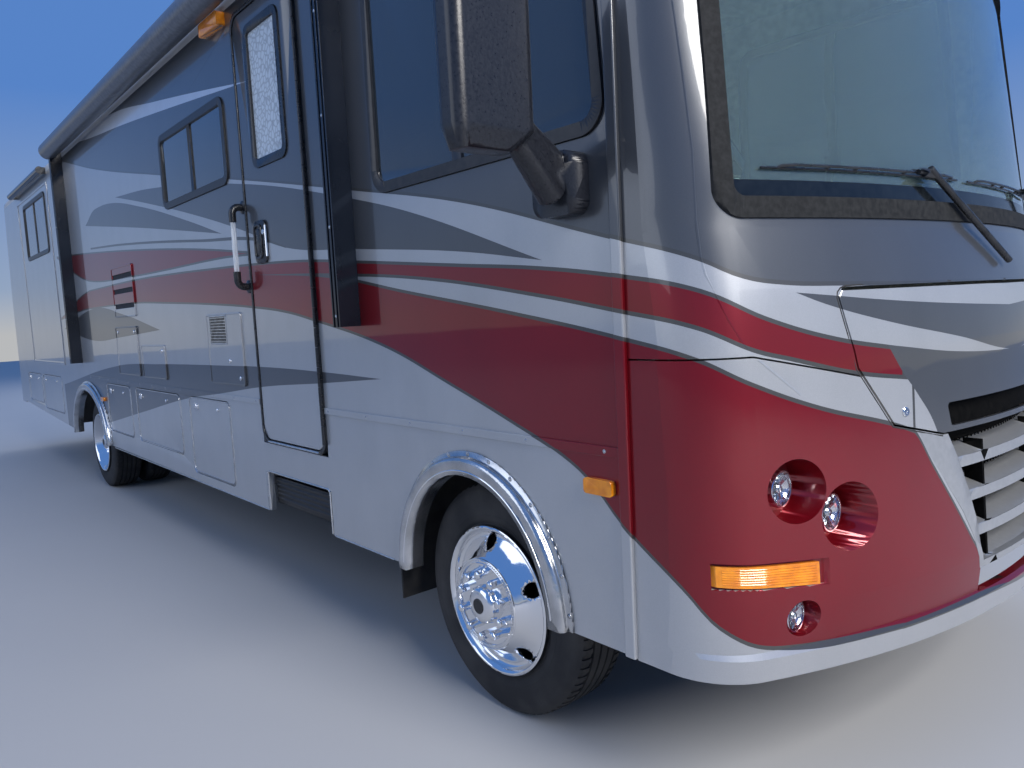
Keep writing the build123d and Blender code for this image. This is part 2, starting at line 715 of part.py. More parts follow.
with BuildPart() as grille:
    with BuildPart(mode=Mode.PRIVATE) as louvres:
        for height in louvre_heights:
            with BuildPart(mode=Mode.PRIVATE) as louvre:
                louvre_sheet_solid(height)
                lip = (height - louvre_lip, height + 2)
                with BuildPart(mode=Mode.PRIVATE) as lip_strip:
                    nose_slice(lip, (louvre_front, louvre_front), front_seam)
                    nose_slice(lip, (louvre_front + 8, louvre_front + 8), front_seam - 40, Mode.SUBTRACT)
                add(lip_strip.part)
            add(louvre.part)
        with BuildPart(mode=Mode.PRIVATE) as sill:
            louvre_sheet_solid(sill_height)
        add(sill.part)
        for side in (-1, 1):
            with BuildPart(mode=Mode.PRIVATE) as upright:
                nose_slice((605, 985), (louvre_front + 6, louvre_front + 6), front_seam)
                nose_slice((605, 985), (70, 70), front_seam - 40, Mode.SUBTRACT)
                block(nose_span, (side * upright_y, side * (upright_y + upright_thick)), (605, 985),
                      mode=Mode.INTERSECT)
            add(upright.part)
        wider = [(y + 3, z - 3 if z < 700 else z) for y, z in border_half]
        front_prism(both_sides(wider), nose_span, Mode.INTERSECT)
    nose_solid(mask_sections, 0, front_seam)
    nose_solid(mask_sections, border_depth, front_seam - 40, mode=Mode.SUBTRACT)
    front_prism(both_sides(shrunk(grille_half, 1)), nose_span, Mode.INTERSECT)
    front_prism(both_sides(border_half), nose_span, Mode.SUBTRACT)
    front_prism(both_sides(hood_half), nose_span, Mode.SUBTRACT)
    add(louvres.part)
save(grille, "grille")

# Windshield: curved laminated glass set just inside the face of the cap.
glass_set_in = 10
glass_thick = 8
with BuildPart() as windshield:
    nose_solid(glass_sections, glass_set_in, front_seam - 40)
    nose_solid(glass_sections, glass_set_in + glass_thick, front_seam - 80, mode=Mode.SUBTRACT)
    front_prism(both_sides(shrunk(glass_half, 3)), seam_back, Mode.INTERSECT, round_off=66)
save(windshield, "windshield")

# Rubber seal that laps the windshield's edge and fills the opening of the cap.
seal_width = 56
seal_proud = 7
with BuildPart() as windshield_seal:
    nose_solid(glass_sections, -seal_proud, front_seam - 40)
    nose_solid(glass_sections, glass_set_in, front_seam - 80, mode=Mode.SUBTRACT)
    front_prism(both_sides(glass_half), seam_back, Mode.INTERSECT, round_off=70)
    front_prism(both_sides(shrunk(glass_half, seal_width)), seam_back, Mode.SUBTRACT, round_off=30)
save(windshield_seal, "windshield_seal")


# One window unit: a rounded frame proud of the wall, with a pane on its middle plane.
def window_unit(side, stations, heights, corner, y_wall, dividers=()):
    outer_y = side * (y_wall + frame_proud)
    inner_y = side * (y_wall - wall_thick + 6)
    pane_y = (side * (y_wall - 2), side * (y_wall - 8))
    inset = 1.5
    grown = (stations[0] + inset, stations[1] - inset)
    tall = (heights[0] + inset, heights[1] - inset)
    light = (stations[0] + frame_bar, stations[1] - frame_bar)
    clear = (heights[0] + frame_bar, heights[1] - frame_bar)
    side_plate(grown, tall, (outer_y, inner_y), corner - inset)
    side_plate(light, clear, (side * (y_wall + 30), side * (y_wall - 80)),
               max(corner - frame_bar, 12), Mode.SUBTRACT)
    side_plate((light[0] - 1, light[1] + 1), (clear[0] - 1, clear[1] + 1), pane_y)
    for station in dividers:
        block((station - 22, station + 22), (side * (y_wall + 5), side * (y_wall - 20)),
              (clear[0] - 1, clear[1] + 1))


divider_half = 25
with BuildPart() as window_units:
    for side in (-1, 1):
        outer_y = side * (half_width + frame_proud)
        cab_window(1.5, (outer_y, side * (half_width - wall_thick + 6)))
        cab_window(frame_bar, (side * (half_width + 30), side * (half_width - 80)), Mode.SUBTRACT)
        cab_window(frame_bar - 1, (side * (half_width - 2), side * (half_width - 8)))
        block((-divider_half, divider_half), (side * (half_width + 5), side * (half_width - 20)),
              (front_window[1][0] + frame_bar - 1, front_window[1][1] - frame_bar + 1))
    window_unit(-1, *middle_window, half_width, (-2561,))
    window_unit(1, *rear_window, half_width, (-7520,))
save(window_units, "window_units")

# Entrance door: a framed leaf hinged at its front edge, with a cut for its window and the pane.
door_leaf_x = (door_x0 + door_rim, door_x1 - door_rim)
door_leaf_z = (door_z0 + door_rim, door_z1 - door_rim)
with BuildPart() as entry_door:
    side_plate(door_leaf_x, door_leaf_z, (-half_width - 2, -half_width + door_thick), 70)
    side_plate(door_window[0], door_window[1], (-half_width - 30, -half_width + 80),
               door_window[2], Mode.SUBTRACT)
    window_unit(-1, *door_window, half_width)
save(entry_door, "entry_door")

# Rim of the entrance: the frame that the door closes into.
with BuildPart() as door_rim_frame:
    inset = 1.0
    side_plate((door_x0 + inset, door_x1 - inset), (door_z0 + inset, door_z1 - inset),
               (-half_width - 8, -half_width + 60), 89)
    side_plate((door_leaf_x[0] - panel_gap, door_leaf_x[1] + panel_gap),
               (door_leaf_z[0] - panel_gap, door_leaf_z[1] + panel_gap),
               (-half_width - 30, -half_width + 90), 74, Mode.SUBTRACT)
save(door_rim_frame, "door_frame")

# Storage doors: flat leaves hinged along their top edges.
door_leaf = 24
for side, table in ((-1, storage_right), (1, storage_left)):
    for label, stations, heights in table:
        with BuildPart() as storage_door:
            side_plate(
                (stations[0] + panel_gap, stations[1] - panel_gap),
                (heights[0] + panel_gap, heights[1] - panel_gap),
                (side * half_width, side * (half_width - door_leaf)),
                storage_corner - panel_gap,
            )
        save(storage_door, label)

# Belt rails: moulded strips over the joint of wall and skirt, broken at the entrance, and the
# rounded corner strips over the joint of the walls and the nose. Columns: side, back, front.
rail_proud = 8
belt_heights = (1030, 1059)
belt_table = (
    (-1, -5700, door_x0 - 6), (-1, door_x1 + 6, front_seam - 38), (1, -5700, front_seam - 38),
)
corner_width, corner_proud, corner_round = 38, 14, 5
with BuildPart() as belt_rails:
    for side, back, front in belt_table:
        block((back, front), (side * half_width, side * (half_width + rail_proud)), belt_heights)
    for side in (-1, 1):
        y_out = side * (half_width + corner_proud)
        block((front_seam - corner_width, front_seam), (side * half_width, y_out), (skirt_bottom, 3040))
    fillet(belt_rails.edges().filter_by(Axis.Z).group_by(Axis.Y)[0], corner_round)
    fillet(belt_rails.edges().filter_by(Axis.Z).group_by(Axis.Y)[-1], corner_round)
save(belt_rails, "belt_rails")

# Service hatches, right side: refrigerator vent with three slots, water heater door, two small lids.
# Columns: back and front station, low and high, corner radius.
hatch_table = (
    ((-4580, -4000), (1556, 1942), 14),
    ((-2529, -2002), (1116, 1523), 20),
    ((-4619, -4025), (1106, 1482), 20),
    ((-3942, -3393), (1102, 1342), 20),
)
hatch_proud = 7
vent_slots = ((1622, 1658), (1737, 1773), (1850, 1886))
heater_mesh = ((-2469, -2225), (1355, 1507))
with BuildPart() as service_hatches:
    for stations, heights, corner in hatch_table:
        side_plate(stations, heights, (-half_width, -half_width - hatch_proud), corner)
    for low, high in vent_slots:
        block((-4560, -4020), (-half_width - 1, -half_width - 20), (low, high), mode=Mode.SUBTRACT)
    block(heater_mesh[0], (-half_width - 2, -half_width - 20), heater_mesh[1], mode=Mode.SUBTRACT)
save(service_hatches, "service_hatches")


# Slide-out room: a box open to the inside, with its window in the outer wall.
def slide_room(side, stations, window):
    gap = 8
    wall = 30
    outer = side * half_width
    inner = side * (half_width - slide_depth)
    span = (stations[0] + gap, stations[1] - gap)
    tall = (slide_z[0] + gap, slide_z[1] - gap)
    block(span, (outer, inner), tall)
    block((span[0] + wall, span[1] - wall), (side * (half_width - wall), inner - side * 10),
          (tall[0] + wall, tall[1] - wall), mode=Mode.SUBTRACT)
    side_plate(window[0], window[1], (outer + side * 20, side * (half_width - 60)), window[2],
               Mode.SUBTRACT)
    middle = sum(window[0]) / 2
    window_unit(side, *window, half_width, (middle,))


with BuildPart() as slide_out_right:
    slide_room(-1, slide_right, rear_window)
save(slide_out_right, "slide_out_right")

with BuildPart() as slide_out_left:
    slide_room(1, slide_left, left_window)
save(slide_out_left, "slide_out_left")

# Entry step: a ribbed front in a casing that slides out under the door.
step_span = (-1790, -1118)
rib_count, rib_pitch, rib_high = 5, 24, 10
with BuildPart() as entry_step:
    block(step_span, (-1262, -820), (600, 640))
    block(step_span, (-1262, -1240), (500, 640))
    block((step_span[0] + 20, step_span[1] - 20), (-1262, -900), (500, 530))
    for row in range(rib_count):
        top = 525 + row * rib_pitch
        block((step_span[0] + 10, step_span[1] - 10), (-1268, -1262), (top, top + rib_high))
save(entry_step, "entry_step")

# Awning: a fabric roll along the roof edge, held by two grooved arms that fold flat on the wall,
# and the smaller roll of the slide-out topper. Arm columns: station, lower end.
awning_y, awning_z, awning_r = -1385, 3111, 75
arm_table = ((-5975, 1170), (-754, 1425))
arm_half, arm_out = 31, 95
groove_half, groove_deep = 7, 12
topper_y, topper_z, topper_r = -1348, 3062, 36
with BuildPart() as awning:
    bar_along(awning_y, awning_z, awning_r, (arm_table[0][0] - 45, arm_table[1][0] + 45))
    for station, low in arm_table:
        block((station - arm_half, station + arm_half), (-half_width, -half_width - arm_out), (low, awning_z))
        for shift in (-15, 15):
            block((station + shift - groove_half, station + shift + groove_half),
                  (-half_width - arm_out - 1, -half_width - arm_out + groove_deep), (low - 1, 3020),
                  mode=Mode.SUBTRACT)
    bar_along(topper_y, topper_z, topper_r, (slide_right[0] - 60, slide_right[1] + 60))
    for station in (slide_right[0] - 30, slide_right[1] + 30):
        block((station - 10, station + 10), (-half_width, topper_y), (3030, 3095))
save(awning, "awning")

# Mirrors: a rounded base on the wall, an arm that rises outwards, and a deep oblong head.
# Head sections: height, length along the vehicle, width across it, shift outwards, corner.
mirror_head_x, mirror_head_y = 552, 1612
head_table = (
    (1862, 66, 170, 30, 30), (1920, 94, 262, 0, 40), (2290, 98, 266, 0, 42), (2352, 72, 200, 0, 34),
)
mirror_base = ((423, 596), (1716, 1893))
arm_foot, arm_top = (512, 1342, 1806), (548, 1548, 1958)
arm_sections = ((92, 150, 40), (62, 84, 26))
with BuildPart() as mirrors:
    for side in (-1, 1):
        side_plate(*mirror_base, (side * half_width, side * (half_width + 58)), 42)
        foot = Vector(at(arm_foot[0]), side * arm_foot[1], arm_foot[2])
        top = Vector(at(arm_top[0]), side * arm_top[1], arm_top[2])
        slices = []
        for point, (wide, tall, corner) in zip((foot, top), arm_sections):
            with BuildSketch(Plane(point, x_dir=(1, 0, 0), z_dir=top - foot)) as arm_slice:
                RectangleRounded(wide, tall, corner)
            slices.append(arm_slice.sketch)
        loft(slices)
        slices = []
        for height, length, width, shift, corner in head_table:
            with BuildSketch(Plane.XY.offset(height)) as head_slice:
                with Locations((at(mirror_head_x), side * (mirror_head_y + shift))):
                    RectangleRounded(length, width, corner - 8)
            slices.append(head_slice.sketch)
        loft(slices, ruled=True)
save(mirrors, "mirrors")

# Wipers: two arms from the cowl, each with a long blade that follows the curve of the glass.
blade_low, blade_high = 1785, 1812
blade_span = (-1060, -200)
blade_insets = (-28, -8)
wiper_shift = 940
# Columns: shift across, station of the pivot, station of the elbow.
wiper_table = ((0, 1236, 1158), (wiper_shift, 1085, 1144))
with BuildPart() as wipers:
    for shift, pivot_x, elbow_x in wiper_table:
        with BuildPart(mode=Mode.PRIVATE) as blade:
            nose_slice((blade_low, blade_high), (blade_insets[0], blade_insets[0]), front_seam - 40)
            nose_slice((blade_low, blade_high), (blade_insets[1], blade_insets[1]), front_seam - 80,
                       Mode.SUBTRACT)
            block(nose_span, (blade_span[0] + shift, blade_span[1] + shift), (blade_low, blade_high),
                  mode=Mode.INTERSECT)
        add(blade.part)
        strut((pivot_x, 20 + shift, 1540), (elbow_x, -420 + shift, 1812), 11)
save(wipers, "wipers")

# Lamps: headlamps and fog lamps in their wells, signals, side markers, tail lamps, porch lamp.
# Marker columns: stations, heights.
marker_table = (((540, 651), (915, 961)), ((-5310, -5220), (849, 885)))
marker_proud = 18
tail_lamp_z = (880, 1090)
tail_lamp_y = (1020, 1120)
porch_lamp = ((-2149, -1889), (2980, 3048))
with BuildPart() as lamps:
    for side in (-1, 1):
        for y, z, mouth, lamp, floor_x, face_x in (*lamp_table, fog_lamp):
            bar_along(side * y, z, lamp, (floor_x, face_x - 8))
            bar_along(side * y, z, lamp - 6, (floor_x, face_x))
        panel_band(signal_lens, (signal_face, signal_floor), side)
        for stations, heights in marker_table:
            side_plate(stations, heights, (side * half_width, side * (half_width + marker_proud)), 10)
    for side in (-1, 1):
        with BuildPart(mode=Mode.PRIVATE) as tail_lamp:
            for z in tail_lamp_z:
                block((-9818, -9700), (side * tail_lamp_y[0], side * tail_lamp_y[1]), (z - 90, z + 90))
            tail_solid(0, rear_seam, mode=Mode.SUBTRACT)
        add(tail_lamp.part)
    side_plate(*porch_lamp, (-half_width, -half_width - 45), 12)
save(lamps, "lamps")

# Roof units: two air conditioners, a vent hood and the refrigerator vent.
with BuildPart() as roof_units:
    for station in (-2600, -7600):
        side_prism(
            (
                (station - 520, 3200), (station - 500, 3520), (station - 380, 3640),
                (station + 300, 3660), (station + 520, 3420), (station + 540, 3200),
            ),
            (-350, 350), round_off=45,
        )
    block((-4700, -4200), (-1000, -600), (3100, 3400))
    block((-5500, -4980), (-260, 260), (3200, 3400))
    crown_solid(0, 3000, (-9000, 0), mode=Mode.SUBTRACT)
save(roof_units, "roof_units")

# Ladder on the tail, on the left: two rails that follow the lean of the cap, rungs and stand-offs.
ladder_y = (820, 1120)
ladder_low, ladder_knee, ladder_high = (-9850, 1300), (-9830, 1900), (-9640, 3250)
rail_r, rung_r = 14, 12
rung_count, rung_pitch = 6, 330
knee_slope = (ladder_high[0] - ladder_knee[0]) / (ladder_high[1] - ladder_knee[1])
foot_slope = (ladder_knee[0] - ladder_low[0]) / (ladder_knee[1] - ladder_low[1])
with BuildPart() as ladder:
    for y in ladder_y:
        strut((ladder_low[0], y, ladder_low[1]), (ladder_knee[0], y, ladder_knee[1]), rail_r)
        strut((ladder_knee[0], y, ladder_knee[1]), (ladder_high[0], y, ladder_high[1]), rail_r)
        for station, height in ((-9846, 1340), (-9830, 1900), (-9655, 3140)):
            strut((station, y, height), (station + 85, y, height), rung_r)
    for row in range(rung_count):
        height = 1400 + row * rung_pitch
        if height < ladder_knee[1]:
            station = ladder_low[0] + (height - ladder_low[1]) * foot_slope
        else:
            station = ladder_knee[0] + (height - ladder_knee[1]) * knee_slope
        strut((station, ladder_y[0], height), (station, ladder_y[1], height), rung_r)
    tail_solid(0, rear_seam, mode=Mode.SUBTRACT)
save(ladder, "ladder")

# Dashboard with a cowled top, the steering column and the wheel, on the left.
wheel_seat_y = 640
hub_x, hub_z = 372, 1768
wheel_ring_r, wheel_lean = 212, 45
spoke_angles = (90, 210, 330)
with BuildPart() as dashboard:
    side_prism(
        ((560, 1062), (560, 1420), (640, 1530), (980, 1560), (1060, 1500), (980, 1062)),
        (-880, 880),
    )
    strut((640, wheel_seat_y, 1500), (376, wheel_seat_y, 1764), 32)
    with Locations(Location((at(hub_x), wheel_seat_y, hub_z), (0, -wheel_lean, 0))):
        Torus(wheel_ring_r, 15)
        Cylinder(52, 46)
    lean = math.radians(wheel_lean)
    for angle in spoke_angles:
        turn = math.radians(angle)
        ahead = wheel_ring_r * math.cos(turn) * math.cos(lean)
        aside = wheel_ring_r * math.sin(turn)
        above = wheel_ring_r * math.cos(turn) * math.sin(lean)
        strut((hub_x, wheel_seat_y, hub_z), (hub_x + ahead, wheel_seat_y + aside, hub_z + above), 12)
save(dashboard, "dashboard")

# Two cab seats on pedestals, with arm rests.
with BuildPart() as cab_seats:
    for y in (-640, 640):
        block((-330, 130), (y - 180, y + 180), (1062, 1400))
        side_prism(
            ((-390, 1390), (-390, 1530), (180, 1550), (180, 1390)), (y - 270, y + 270), round_off=45
        )
        side_prism(
            ((-400, 1440), (-600, 2250), (-450, 2280), (-230, 1440)), (y - 265, y + 265), round_off=50
        )
        for side in (-1, 1):
            side_prism(
                ((-420, 1640), (-420, 1720), (-60, 1720), (-60, 1670)), (y + side * 270, y + side * 320),
                round_off=20,
            )
            block((-420, -360), (y + side * 262, y + side * 300), (1480, 1700))
save(cab_seats, "cab_seats")

stud_r = 10
pin_r = 23.5
fork_table = (330, 478)
fork_thick = 36
fork_out = (62, 92)
arm_low, arm_high = 338, 362
spindle_r = 36
drum_r, drum_y = 190, (1065, 1115)


# Steering knuckle: a fork round the kingpin eye, its pin, the spindle, the drum and the steering arm.
def knuckle(side):
    bar_up(0, side * kingpin_y, pin_r, (fork_table[0] + 10, fork_table[1] + 28))
    for low in fork_table:
        block((-42, 42), (side * (kingpin_y - 55), side * (kingpin_y + fork_out[1])), (low, low + fork_thick))
    block((-42, 42), (side * (kingpin_y + fork_out[0]), side * (kingpin_y + fork_out[1])),
          (fork_table[0], fork_table[1] + fork_thick))
    bar_across(0, tyre_r, spindle_r, (side * (kingpin_y + 90), side * (tyre_outer_y - 90)))
    bar_across(0, tyre_r, drum_r, (side * drum_y[0], side * drum_y[1]))
    block((-steer_arm, -20), (side * (kingpin_y - 22), side * (kingpin_y + 22)), (arm_low, arm_high))
    bar_up(-steer_arm, side * kingpin_y, 32, (arm_low, arm_high))
    bar_up(-steer_arm, side * kingpin_y, stud_r + 0.3, (arm_low - 8, arm_high + 8), mode=Mode.SUBTRACT)


with BuildPart() as knuckle_right:
    knuckle(-1)
save(knuckle_right, "knuckle_right")

with BuildPart() as knuckle_left:
    knuckle(1)
save(knuckle_left, "knuckle_left")

# Tie rod behind the front axle, under the steering arms, with a ball stud at each end.
with BuildPart() as tie_rod:
    bar_across(-steer_arm, 300, 20, (-kingpin_y, kingpin_y))
    for side in (-1, 1):
        bar_up(-steer_arm, side * kingpin_y, 30, (275, 325))
        bar_up(-steer_arm, side * kingpin_y, stud_r, (320, 366))
save(tie_rod, "tie_rod")


# Wheels with bright liners, in pairs of (depth behind the wheel's face, radius): a drop-centre rim,
# and a dished disc that domes out to the nut face in front and drops far in on the twin wheels.
wheel_table = (
    ("front_right", -1, 0, False),
    ("front_left", 1, 0, False),
    ("rear_right", -1, -wheelbase, True),
    ("rear_left", 1, -wheelbase, True),
)
bore_r = 36.3
rim_outline = (
    (-8, 258), (-10, 264), (-6, 270), (2, 270), (8, 262), (15, 256), (17, 249), (50, 246), (78, 222),
    (167, 222), (195, 246), (228, 249), (230, 262), (243, 262), (245, 256), (236, 243), (192, 239),
    (165, 215), (80, 215), (54, 239), (30, 241), (6, 248),
)
front_disc = (
    (8, 250), (22, 238), (16, 226), (-4, 200), (-30, 176), (-48, 162), (-54, 152), (-45, 145),
    (-45, 70), (-36, 70), (-36, 145), (-38, 154), (-18, 172), (8, 196), (26, 220), (34, 238), (20, 250),
)
rear_disc = (
    (8, 250), (30, 238), (66, 222), (104, 200), (122, 182), (124, 150), (114, 144), (114, 70), (124, 70),
    (124, 140), (134, 148), (132, 188), (112, 208), (80, 226), (46, 242), (16, 250),
)
front_hub = ((-81, 0), (-81, 38), (-76, 56), (-66, 66), (-45, 70), (-45, 84), (110, 84), (110, 0))
rear_hub = ((10, 0), (10, 40), (18, 60), (30, 72), (110, 78), (205, 88), (205, 0))
front_hole = (212, 27, (-40, 52))
rear_hole = (176, 24, (90, 150))
hole_count = 5
twin_disc = ((136, 70), (136, 190), (300, 226), (310, 241), (325, 241), (312, 218), (146, 182), (146, 70))


# A body of revolution about the axle, from (depth, radius) points.
def turned(side, station, points, mode=Mode.ADD):
    plane = Plane(
        origin=(at(station), side * tyre_outer_y, tyre_r), x_dir=(0, -side, 0), z_dir=(-side, 0, 0)
    )
    with BuildSketch(plane) as profile:
        with BuildLine():
            Polyline(*points, close=True)
        make_face()
    axis = Axis((at(station), 0, tyre_r), (0, 1, 0))
    revolve(profile.sketch, axis=axis, revolution_arc=360, mode=mode)


for label, side, station, dual in wheel_table:
    with BuildPart() as wheel:
        turned(side, station, rim_outline)
        turned(side, station, rear_disc if dual else front_disc)
        turned(side, station, rear_hub if dual else front_hub)
        ring_r, hole_r, hole_depths = rear_hole if dual else front_hole
        for count in range(hole_count):
            angle = math.radians(95 + count * 360 / hole_count)
            bar_across(
                station + ring_r * math.cos(angle), tyre_r + ring_r * math.sin(angle), hole_r,
                [side * (tyre_outer_y - depth) for depth in hole_depths], mode=Mode.SUBTRACT,
            )
        if dual:
            turned(side, station, [(depth + dual_spacing, radius) for depth, radius in rim_outline])
            turned(side, station, twin_disc)
        else:
            turned(side, station, ((85, 0), (85, bore_r), (240, bore_r), (240, 0)), Mode.SUBTRACT)
    save(wheel, "wheel_" + label)

# Tyres: plain casings with rounded shoulders, two on each rear wheel.
tyre_outline = (
    (17.5, 250), (15, 268), (0, 322), (7, 382), (34, tyre_r), (211, tyre_r), (238, 382), (245, 322),
    (230, 268), (227.5, 250),
)
for label, side, station, dual in wheel_table:
    with BuildPart() as tyre:
        for start in (0, dual_spacing) if dual else (0,):
            turned(side, station, [(start + depth, radius) for depth, radius in tyre_outline])
    save(tyre, ("tyres_" if dual else "tyre_") + label)
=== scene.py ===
import json
from math import atan2, cos, pi, radians, sin, sqrt

import bpy
from mathutils import Matrix, Vector
from mathutils.kdtree import KDTree


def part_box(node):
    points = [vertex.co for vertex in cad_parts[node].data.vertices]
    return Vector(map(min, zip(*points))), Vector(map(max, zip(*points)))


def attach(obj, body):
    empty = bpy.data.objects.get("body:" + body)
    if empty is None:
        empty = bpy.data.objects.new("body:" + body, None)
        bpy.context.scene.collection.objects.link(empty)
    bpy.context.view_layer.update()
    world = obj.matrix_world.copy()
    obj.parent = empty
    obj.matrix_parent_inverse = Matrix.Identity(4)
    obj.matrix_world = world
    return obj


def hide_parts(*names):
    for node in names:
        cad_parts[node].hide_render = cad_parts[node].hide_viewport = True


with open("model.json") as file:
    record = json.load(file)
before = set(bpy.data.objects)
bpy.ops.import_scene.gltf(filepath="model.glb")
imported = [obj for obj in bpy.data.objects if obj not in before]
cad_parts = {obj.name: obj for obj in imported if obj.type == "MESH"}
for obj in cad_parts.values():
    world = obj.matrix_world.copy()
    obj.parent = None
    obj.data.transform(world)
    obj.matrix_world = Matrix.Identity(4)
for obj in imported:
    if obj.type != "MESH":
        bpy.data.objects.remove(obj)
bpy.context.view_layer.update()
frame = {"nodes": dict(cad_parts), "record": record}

# Camera: a wide lens at head height off the right front corner, turned a little and tilted down.
camera_place = (6.373, -2.888, 1.460)
camera_heading = radians(49.53)
camera_tilt = radians(84.44)
camera_roll = radians(-2.94)
lens_mm = 26.80
sensor_mm = 36.0

camera_data = bpy.data.cameras.new("camera")
camera_data.lens = lens_mm
camera_data.sensor_width = sensor_mm
camera_data.sensor_fit = "HORIZONTAL"
camera_data.clip_end = 200.0
camera = bpy.data.objects.new("camera", camera_data)
camera.matrix_world = (
    Matrix.Translation(camera_place)
    @ Matrix.Rotation(camera_heading, 4, "Z")
    @ Matrix.Rotation(camera_tilt, 4, "X")
    @ Matrix.Rotation(camera_roll, 4, "Z")
)
bpy.context.scene.collection.objects.link(camera)
bpy.context.scene.camera = camera
bpy.context.scene.view_settings.view_transform = "Standard"

# Studio: a pale floor, a soft sky that is paler at the horizon, and three large soft lamps.
floor_size = 90.0
floor_color = (0.44, 0.44, 0.435, 1)
horizon_color = (0.50, 0.51, 0.52, 1)
haze_color = (0.30, 0.39, 0.55, 1)
zenith_color = (0.10, 0.24, 0.60, 1)
sky_strength = 0.95
lamps = (
    ("key_lamp", (15.0, -1.5, 8.5), (4.5, 0.0, 1.2), 6.0, 2100.0, (1.0, 0.96, 0.91)),
    ("side_lamp", (-1.0, -13.0, 7.0), (0.0, 0.0, 1.4), 10.0, 420.0, (0.93, 0.96, 1.0)),
    ("rear_lamp", (-14.0, 9.0, 9.0), (-4.0, 0.0, 1.5), 9.0, 1100.0, (0.95, 0.97, 1.0)),
)


def set_inputs(tree, node, inputs):
    """Set a node's inputs, each to a value or to another node's output."""
    for name, value in inputs.items():
        if isinstance(value, bpy.types.NodeSocket):
            tree.links.new(value, node.inputs[name])
        else:
            node.inputs[name].default_value = value


def add_node(tree, kind, inputs):
    """A new node of a kind with its inputs set."""
    made = tree.nodes.new("ShaderNode" + kind)
    set_inputs(tree, made, inputs)
    return made


def clouds(tree, place, scale, detail=2.0):
    """A soft cloudy pattern, from 0 to 1."""
    pattern = {"Vector": place, "Scale": scale, "Detail": detail}
    return add_node(tree, "TexNoise", pattern).outputs["Fac"]


def color_ramp(tree, factor, *stops):
    """A colour that runs through (position, colour) stops along a factor."""
    made = add_node(tree, "ValToRGB", {"Fac": factor})
    elements = made.color_ramp.elements
    for index in (0, -1):
        elements[index].position, elements[index].color = stops[index]
    for position, color in stops[1:-1]:
        elements.new(position).color = color
    return made.outputs["Color"]


def new_material(name, inputs):
    """A material from its shader's inputs, with its tree, shader and place on the piece."""
    made = bpy.data.materials.new(name)
    made.use_nodes = True
    tree = made.node_tree
    shader = tree.nodes["Principled BSDF"]
    set_inputs(tree, shader, inputs)
    return made, tree, shader, tree.nodes.new("ShaderNodeTexCoord").outputs["Object"]


bpy.ops.mesh.primitive_plane_add(size=floor_size, location=(0, 0, 0))
floor = bpy.context.active_object
floor.name = "studio_floor"
floor_paint, tree, shader, place = new_material("floor_paint", {"Roughness": 0.75})
dull_color = [0.96 * part for part in floor_color[:3]] + [1]
shade = color_ramp(tree, clouds(tree, place, 0.8), (0.0, dull_color), (1.0, floor_color))
set_inputs(tree, shader, {"Base Color": shade})
floor.data.materials.append(floor_paint)

sky = bpy.data.worlds.new("studio_sky")
bpy.context.scene.world = sky
sky.use_nodes = True
tree = sky.node_tree
direction = tree.nodes.new("ShaderNodeTexCoord").outputs["Generated"]
up_way = add_node(tree, "SeparateXYZ", {"Vector": direction}).outputs["Z"]
fade = color_ramp(tree, up_way, (0.0, horizon_color), (0.05, haze_color), (0.26, zenith_color))
set_inputs(tree, tree.nodes["Background"], {"Color": fade, "Strength": sky_strength})

for name, spot, aim, size, power, color in lamps:
    lamp_data = bpy.data.lights.new(name, "AREA")
    lamp_data.shape = "SQUARE"
    lamp_data.size = size
    lamp_data.energy = power
    lamp_data.color = color
    lamp = bpy.data.objects.new(name, lamp_data)
    lamp.location = spot
    lamp.rotation_euler = (Vector(aim) - Vector(spot)).to_track_quat("-Z", "Y").to_euler()
    bpy.context.scene.collection.objects.link(lamp)


# Chassis: rolled steel rails, cross members and springs, brushed with black paint and road dust,
# with cast and forged axle parts, riveted and bolted together under the floor.
tyre_low, tyre_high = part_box("tyre_front_right")
front_axle = (tyre_low.x + tyre_high.x) / 2
smooth_angle, bevel_angle, flat_angle = radians(32), radians(40), radians(1)
weld_gap = 0.00005
gloss_spread = 0.25


def ranged(tree, factor, low, high, start=0.0, end=1.0):
    """A factor between start and end, as a share of the way from low to high."""
    made = add_node(tree, "MapRange", {
        "Value": factor, "From Min": start, "From Max": end, "To Min": low, "To Max": high
    })
    return made.outputs["Result"]


def bumped(tree, height, strength, distance):
    """A surface direction that follows a pattern of heights."""
    made = add_node(tree, "Bump", {"Height": height, "Strength": strength, "Distance": distance})
    return made.outputs["Normal"]


def speckled(name, dark, light, scale, roughness, metallic=0.0, relief=0.0, stretch=(1, 1, 1),
             extra=None):
    """A finish whose colour, gloss and relief wander a little, as on a used surface."""
    made, tree, shader, place = new_material(
        name, {"Metallic": metallic, "Roughness": roughness, **(extra or {})}
    )
    spread = add_node(tree, "Mapping", {"Vector": place, "Scale": stretch})
    cloud = clouds(tree, spread.outputs["Vector"], scale, 5.0)
    dullest = min((1 + gloss_spread) * roughness, 1.0)
    set_inputs(tree, shader, {
        "Base Color": color_ramp(tree, cloud, (0.36, (*dark, 1)), (0.66, (*light, 1))),
        "Roughness": ranged(tree, cloud, (1 - gloss_spread) * roughness, dullest),
    })
    if relief:
        set_inputs(tree, shader, {"Normal": bumped(tree, cloud, 0.5, relief)})
    return made


def select_only(piece):
    """Deselect everything, then select one piece and make it active."""
    bpy.ops.object.select_all(action="DESELECT")
    bpy.context.view_layer.objects.active = piece
    piece.select_set(True)


def leave_edit():
    """Go back from edit mode to object mode."""
    bpy.ops.object.mode_set(mode="OBJECT")


def apply_modifier(piece, kind, **settings):
    """Give a piece one modifier with its settings, and apply it."""
    select_only(piece)
    modifier = piece.modifiers.new(kind.lower(), kind)
    for name, value in settings.items():
        setattr(modifier, name, value)
    bpy.ops.object.modifier_apply(modifier=modifier.name)


